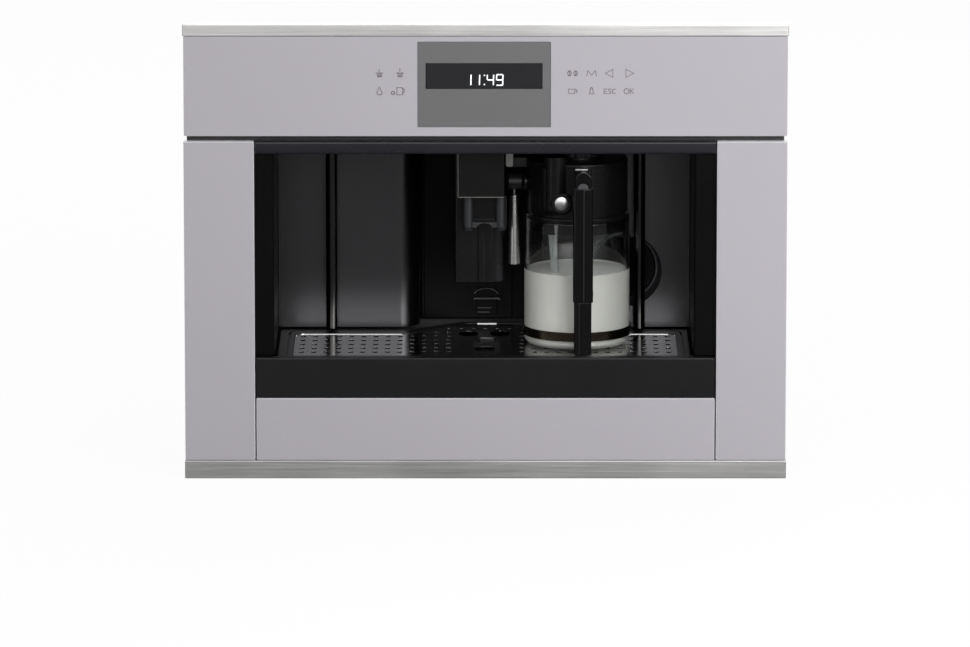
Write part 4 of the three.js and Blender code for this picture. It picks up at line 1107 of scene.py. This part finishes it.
def makeBeanLid():
    s, look = span("bean_lid"), beanLidLook
    edge, half, (radius, depth, z, length) = look["dishEdge"], look["tabHalf"], look["barrel"]
    plate = pulled(rectangle(s.left, s.right, s.face + 4, look["back"], look["corner"], 8), s.foot,
                   look["top"], "top", 1.1, 3)
    dish = pulled(rectangle(s.left + edge, s.right - edge, s.face + edge + 4, look["dishBack"], 5, 6),
                  look["dishFloor"], look["top"] + 1.6)
    tab = pulled(rectangle(s.x - half, s.x + half, s.face, s.face + 12, 3.5, 6), *look["tab"], "top", 0.8, 3)
    barrels = [rod(radius, at(s.x + x, depth, z), length, "X", 32, 0.3) for x in look["barrels"]]
    piece("beanLid", [carved(plate, dish), tab, *barrels], "hopper_lid", "lid_black", "bean_lid")


makeTank()
makeBeanLid()


# ---------- casing details: ribs and screws ----------

screwLook = {"radius": 3.4, "tall": 1.5, "socket": 1.6, "washer": 4.6, "inset": 9, "rearMiddle": 190,
             "rearX": (-252, -130, 0, 130, 252), "sideDepths": (44, 200, 396),
             "coverX": (-252, -72, 40, 252), "coverDepths": (70, 398)}
# One set of ribs on each casing sheet: where they start, width, reach the other way and corners.
ribLook = {"sunk": 0.6, "proud": 1.1, "edge": 0.6, "sides": ((140, 160, 250, 270), 9, 70, 370, 4.4),
           "rearUpright": ((-210, -176, -142, -108), 14, 130, 330, 6.8),
           "rearLevel": ((330, 344), 7, -20, 210, 3.4),
           "cover": ((96, 124, 152, 180), 12, -220, 210, 5.8)}


# Pan-head screw standing on a face, with a socket. facing points into the face.
def screwHead(place, facing):
    r, h, socket, washer = (screwLook[key] for key in ("radius", "tall", "socket", "washer"))
    profile = [(0, -h + 1.0), (socket, -h + 1.0), (socket, -h), (r - 1, -h), (r, -h + 1.1), (r, 0),
               (washer, -0.1), (washer, 0.35), (0, 0.35)]
    bm = spun(profile, [0, 0.1, 0.1, 0.5, 0.5, 0.1, 0.1, 0, 0], Vector(), "Z", 30, 3)
    return placed(bm, place, Vector(facing))


def makeCasingDetails():
    rear, left, right, cover = map(span, ("rear_panel", "side_panel_left", "side_panel_right", "top_cover"))
    look, inset = screwLook, screwLook["inset"]
    places = [(x, z) for x in look["rearX"] for z in (rear.foot + inset, rear.top - inset)]
    places += [(x, look["rearMiddle"]) for x in (look["rearX"][0], look["rearX"][-1])]
    heads = [screwHead(at(x, rear.back, z), (0, -1, 0)) for x, z in places]
    for d in look["sideDepths"]:
        for z in (left.foot + inset - 1, left.top - inset + 1):
            heads += [screwHead(at(left.left, d, z), (1, 0, 0)), screwHead(at(right.right, d, z), (-1, 0, 0))]
    heads += [screwHead(at(x, d, cover.top), (0, 0, -1)) for x in look["coverX"] for d in look["coverDepths"]]
    piece("casingScrews", heads, "machine", "casing_zinc", material=screwSteel)
    parts, look = [], ribLook
    for key, plane, faces in (("sides", "side", ((left.left, -1), (right.right, 1))),
                              ("rearUpright", "front", ((rear.back, 1),)),
                              ("rearLevel", "front", ((rear.back, 1),)),
                              ("cover", "top", ((cover.top, 1),))):
        starts, width, near, far, corner = look[key]
        for start in starts:
            wide = (start, start + width)
            reach = (*wide, near, far) if key == "rearUpright" else (near, far, *wide)
            for face, outwards in faces:
                parts.append(pulled(rectangle(*reach, corner, 6), face - outwards * look["sunk"],
                                    face + outwards * look["proud"], plane, look["edge"]))
    piece("casingRibs", parts, "machine", "casing_zinc")


makeCasingDetails()
print("casing detailed")


# ---------- floor, light and camera ----------

studio = {"pixelsPerMm": 1.0134, "distance": 7.8, "elevation": 10.5, "aimX": -0.5, "aimZ": 157.1,
          "worldFill": 0.42, "floorMirrored": 0.12, "photoWidth": 970, "sensor": 36}
# soft boxes: place, aim, width and height in metres, and power
lamps = {
    "keyBox": ((-0.3, -3.6, 1.7), (0, -0.2, 0.2), 3.0, 1.6, 26),
    "rightBox": ((0.78, -1.6, 0.78), (0.1, -0.25, 0.1), 0.9, 0.9, 16),
    "edgeStrip": ((-0.8, -0.95, 0.2), (-0.1, -0.25, 0.2), 0.14, 0.38, 0.25),
    "backBox": ((0.5, 2.4, 2.2), (0, 0.1, 0.2), 2.0, 1.4, 30),
}


# White where it is looked at or mirrored, dimmer where it only lights.
def makeWorld():
    world = bpy.data.worlds.new("studioWorld")
    scene.world = world
    world.use_nodes = True
    tree = world.node_tree
    path = addNode(tree, "LightPath").outputs
    seen = mathNode(tree, "MAXIMUM", path["Is Camera Ray"], path["Is Transmission Ray"])
    seen = mathNode(tree, "MAXIMUM", seen, path["Is Glossy Ray"])
    fill, full = tree.nodes["Background"], addNode(tree, "Background")
    for light, strength in ((fill, studio["worldFill"]), (full, 1.0)):
        setInputs(tree, light, {"Color": (1, 1, 1, 1), "Strength": strength})
    mix = addNode(tree, "MixShader", {0: seen, 1: fill.outputs[0], 2: full.outputs[0]})
    tree.links.new(mix.outputs[0], tree.nodes["World Output"].inputs[0])


# Floor that looks white, bounces light, and is dim in mirrors.
def makeFloor():
    bm = bmesh.new()
    bmesh.ops.create_grid(bm, x_segments=1, y_segments=1, size=20)
    floor = newObject("studioFloor", bm)
    material = bpy.data.materials.new("studioFloor")
    material.use_nodes = True
    tree = material.node_tree
    path = addNode(tree, "LightPath").outputs
    tone = mixColor(tree, path["Is Camera Ray"], (0.8, 0.8, 0.8, 1), (0.98, 0.98, 0.98, 1))
    shader = tree.nodes["Principled BSDF"]
    setInputs(tree, shader, {"Specular IOR Level": 0.0, "Roughness": 1.0, "Base Color": tone})
    last = shader.outputs[0]
    for strength, ray, share in ((1.0, "Is Camera Ray", 0.95),
                                 (studio["floorMirrored"], "Is Glossy Ray", 1.0)):
        glow = addNode(tree, "Emission", {"Strength": strength}).outputs[0]
        part = mathNode(tree, "MULTIPLY", path[ray], share)
        last = addNode(tree, "MixShader", {0: part, 1: last, 2: glow}).outputs[0]
    tree.links.new(last, tree.nodes["Material Output"].inputs["Surface"])
    floor.data.materials.append(material)


def makeLamps():
    for name, (place, aim, width, height, power) in lamps.items():
        data = bpy.data.lights.new(name, "AREA")
        data.shape = "RECTANGLE"
        data.size, data.size_y, data.energy = width, height, power
        lamp = bpy.data.objects.new(name, data)
        lamp.location = place
        lamp.rotation_euler = (Vector(aim) - Vector(place)).to_track_quat("-Z", "Y").to_euler()
        # the low strip only shows as a line of light along upright edges
        lamp.visible_diffuse = name != "edgeStrip"
        scene.collection.objects.link(lamp)


def makeCamera():
    tilt, distance = math.radians(studio["elevation"]), studio["distance"]
    data = bpy.data.cameras.new("studioCamera")
    data.sensor_width = studio["sensor"]
    data.lens = studio["sensor"] * studio["pixelsPerMm"] * distance / mm / studio["photoWidth"]
    data.clip_start, data.clip_end = 0.1, 60
    eye = bpy.data.objects.new("studioCamera", data)
    away = Vector((0, -math.cos(tilt), math.sin(tilt))) * distance
    eye.location = at(studio["aimX"], 0, studio["aimZ"]) + away
    eye.rotation_euler = (math.pi / 2 - tilt, 0, 0)
    scene.collection.objects.link(eye)
    scene.camera = eye


makeWorld()
makeFloor()
makeLamps()
makeCamera()
scene.view_settings.view_transform = "Standard"
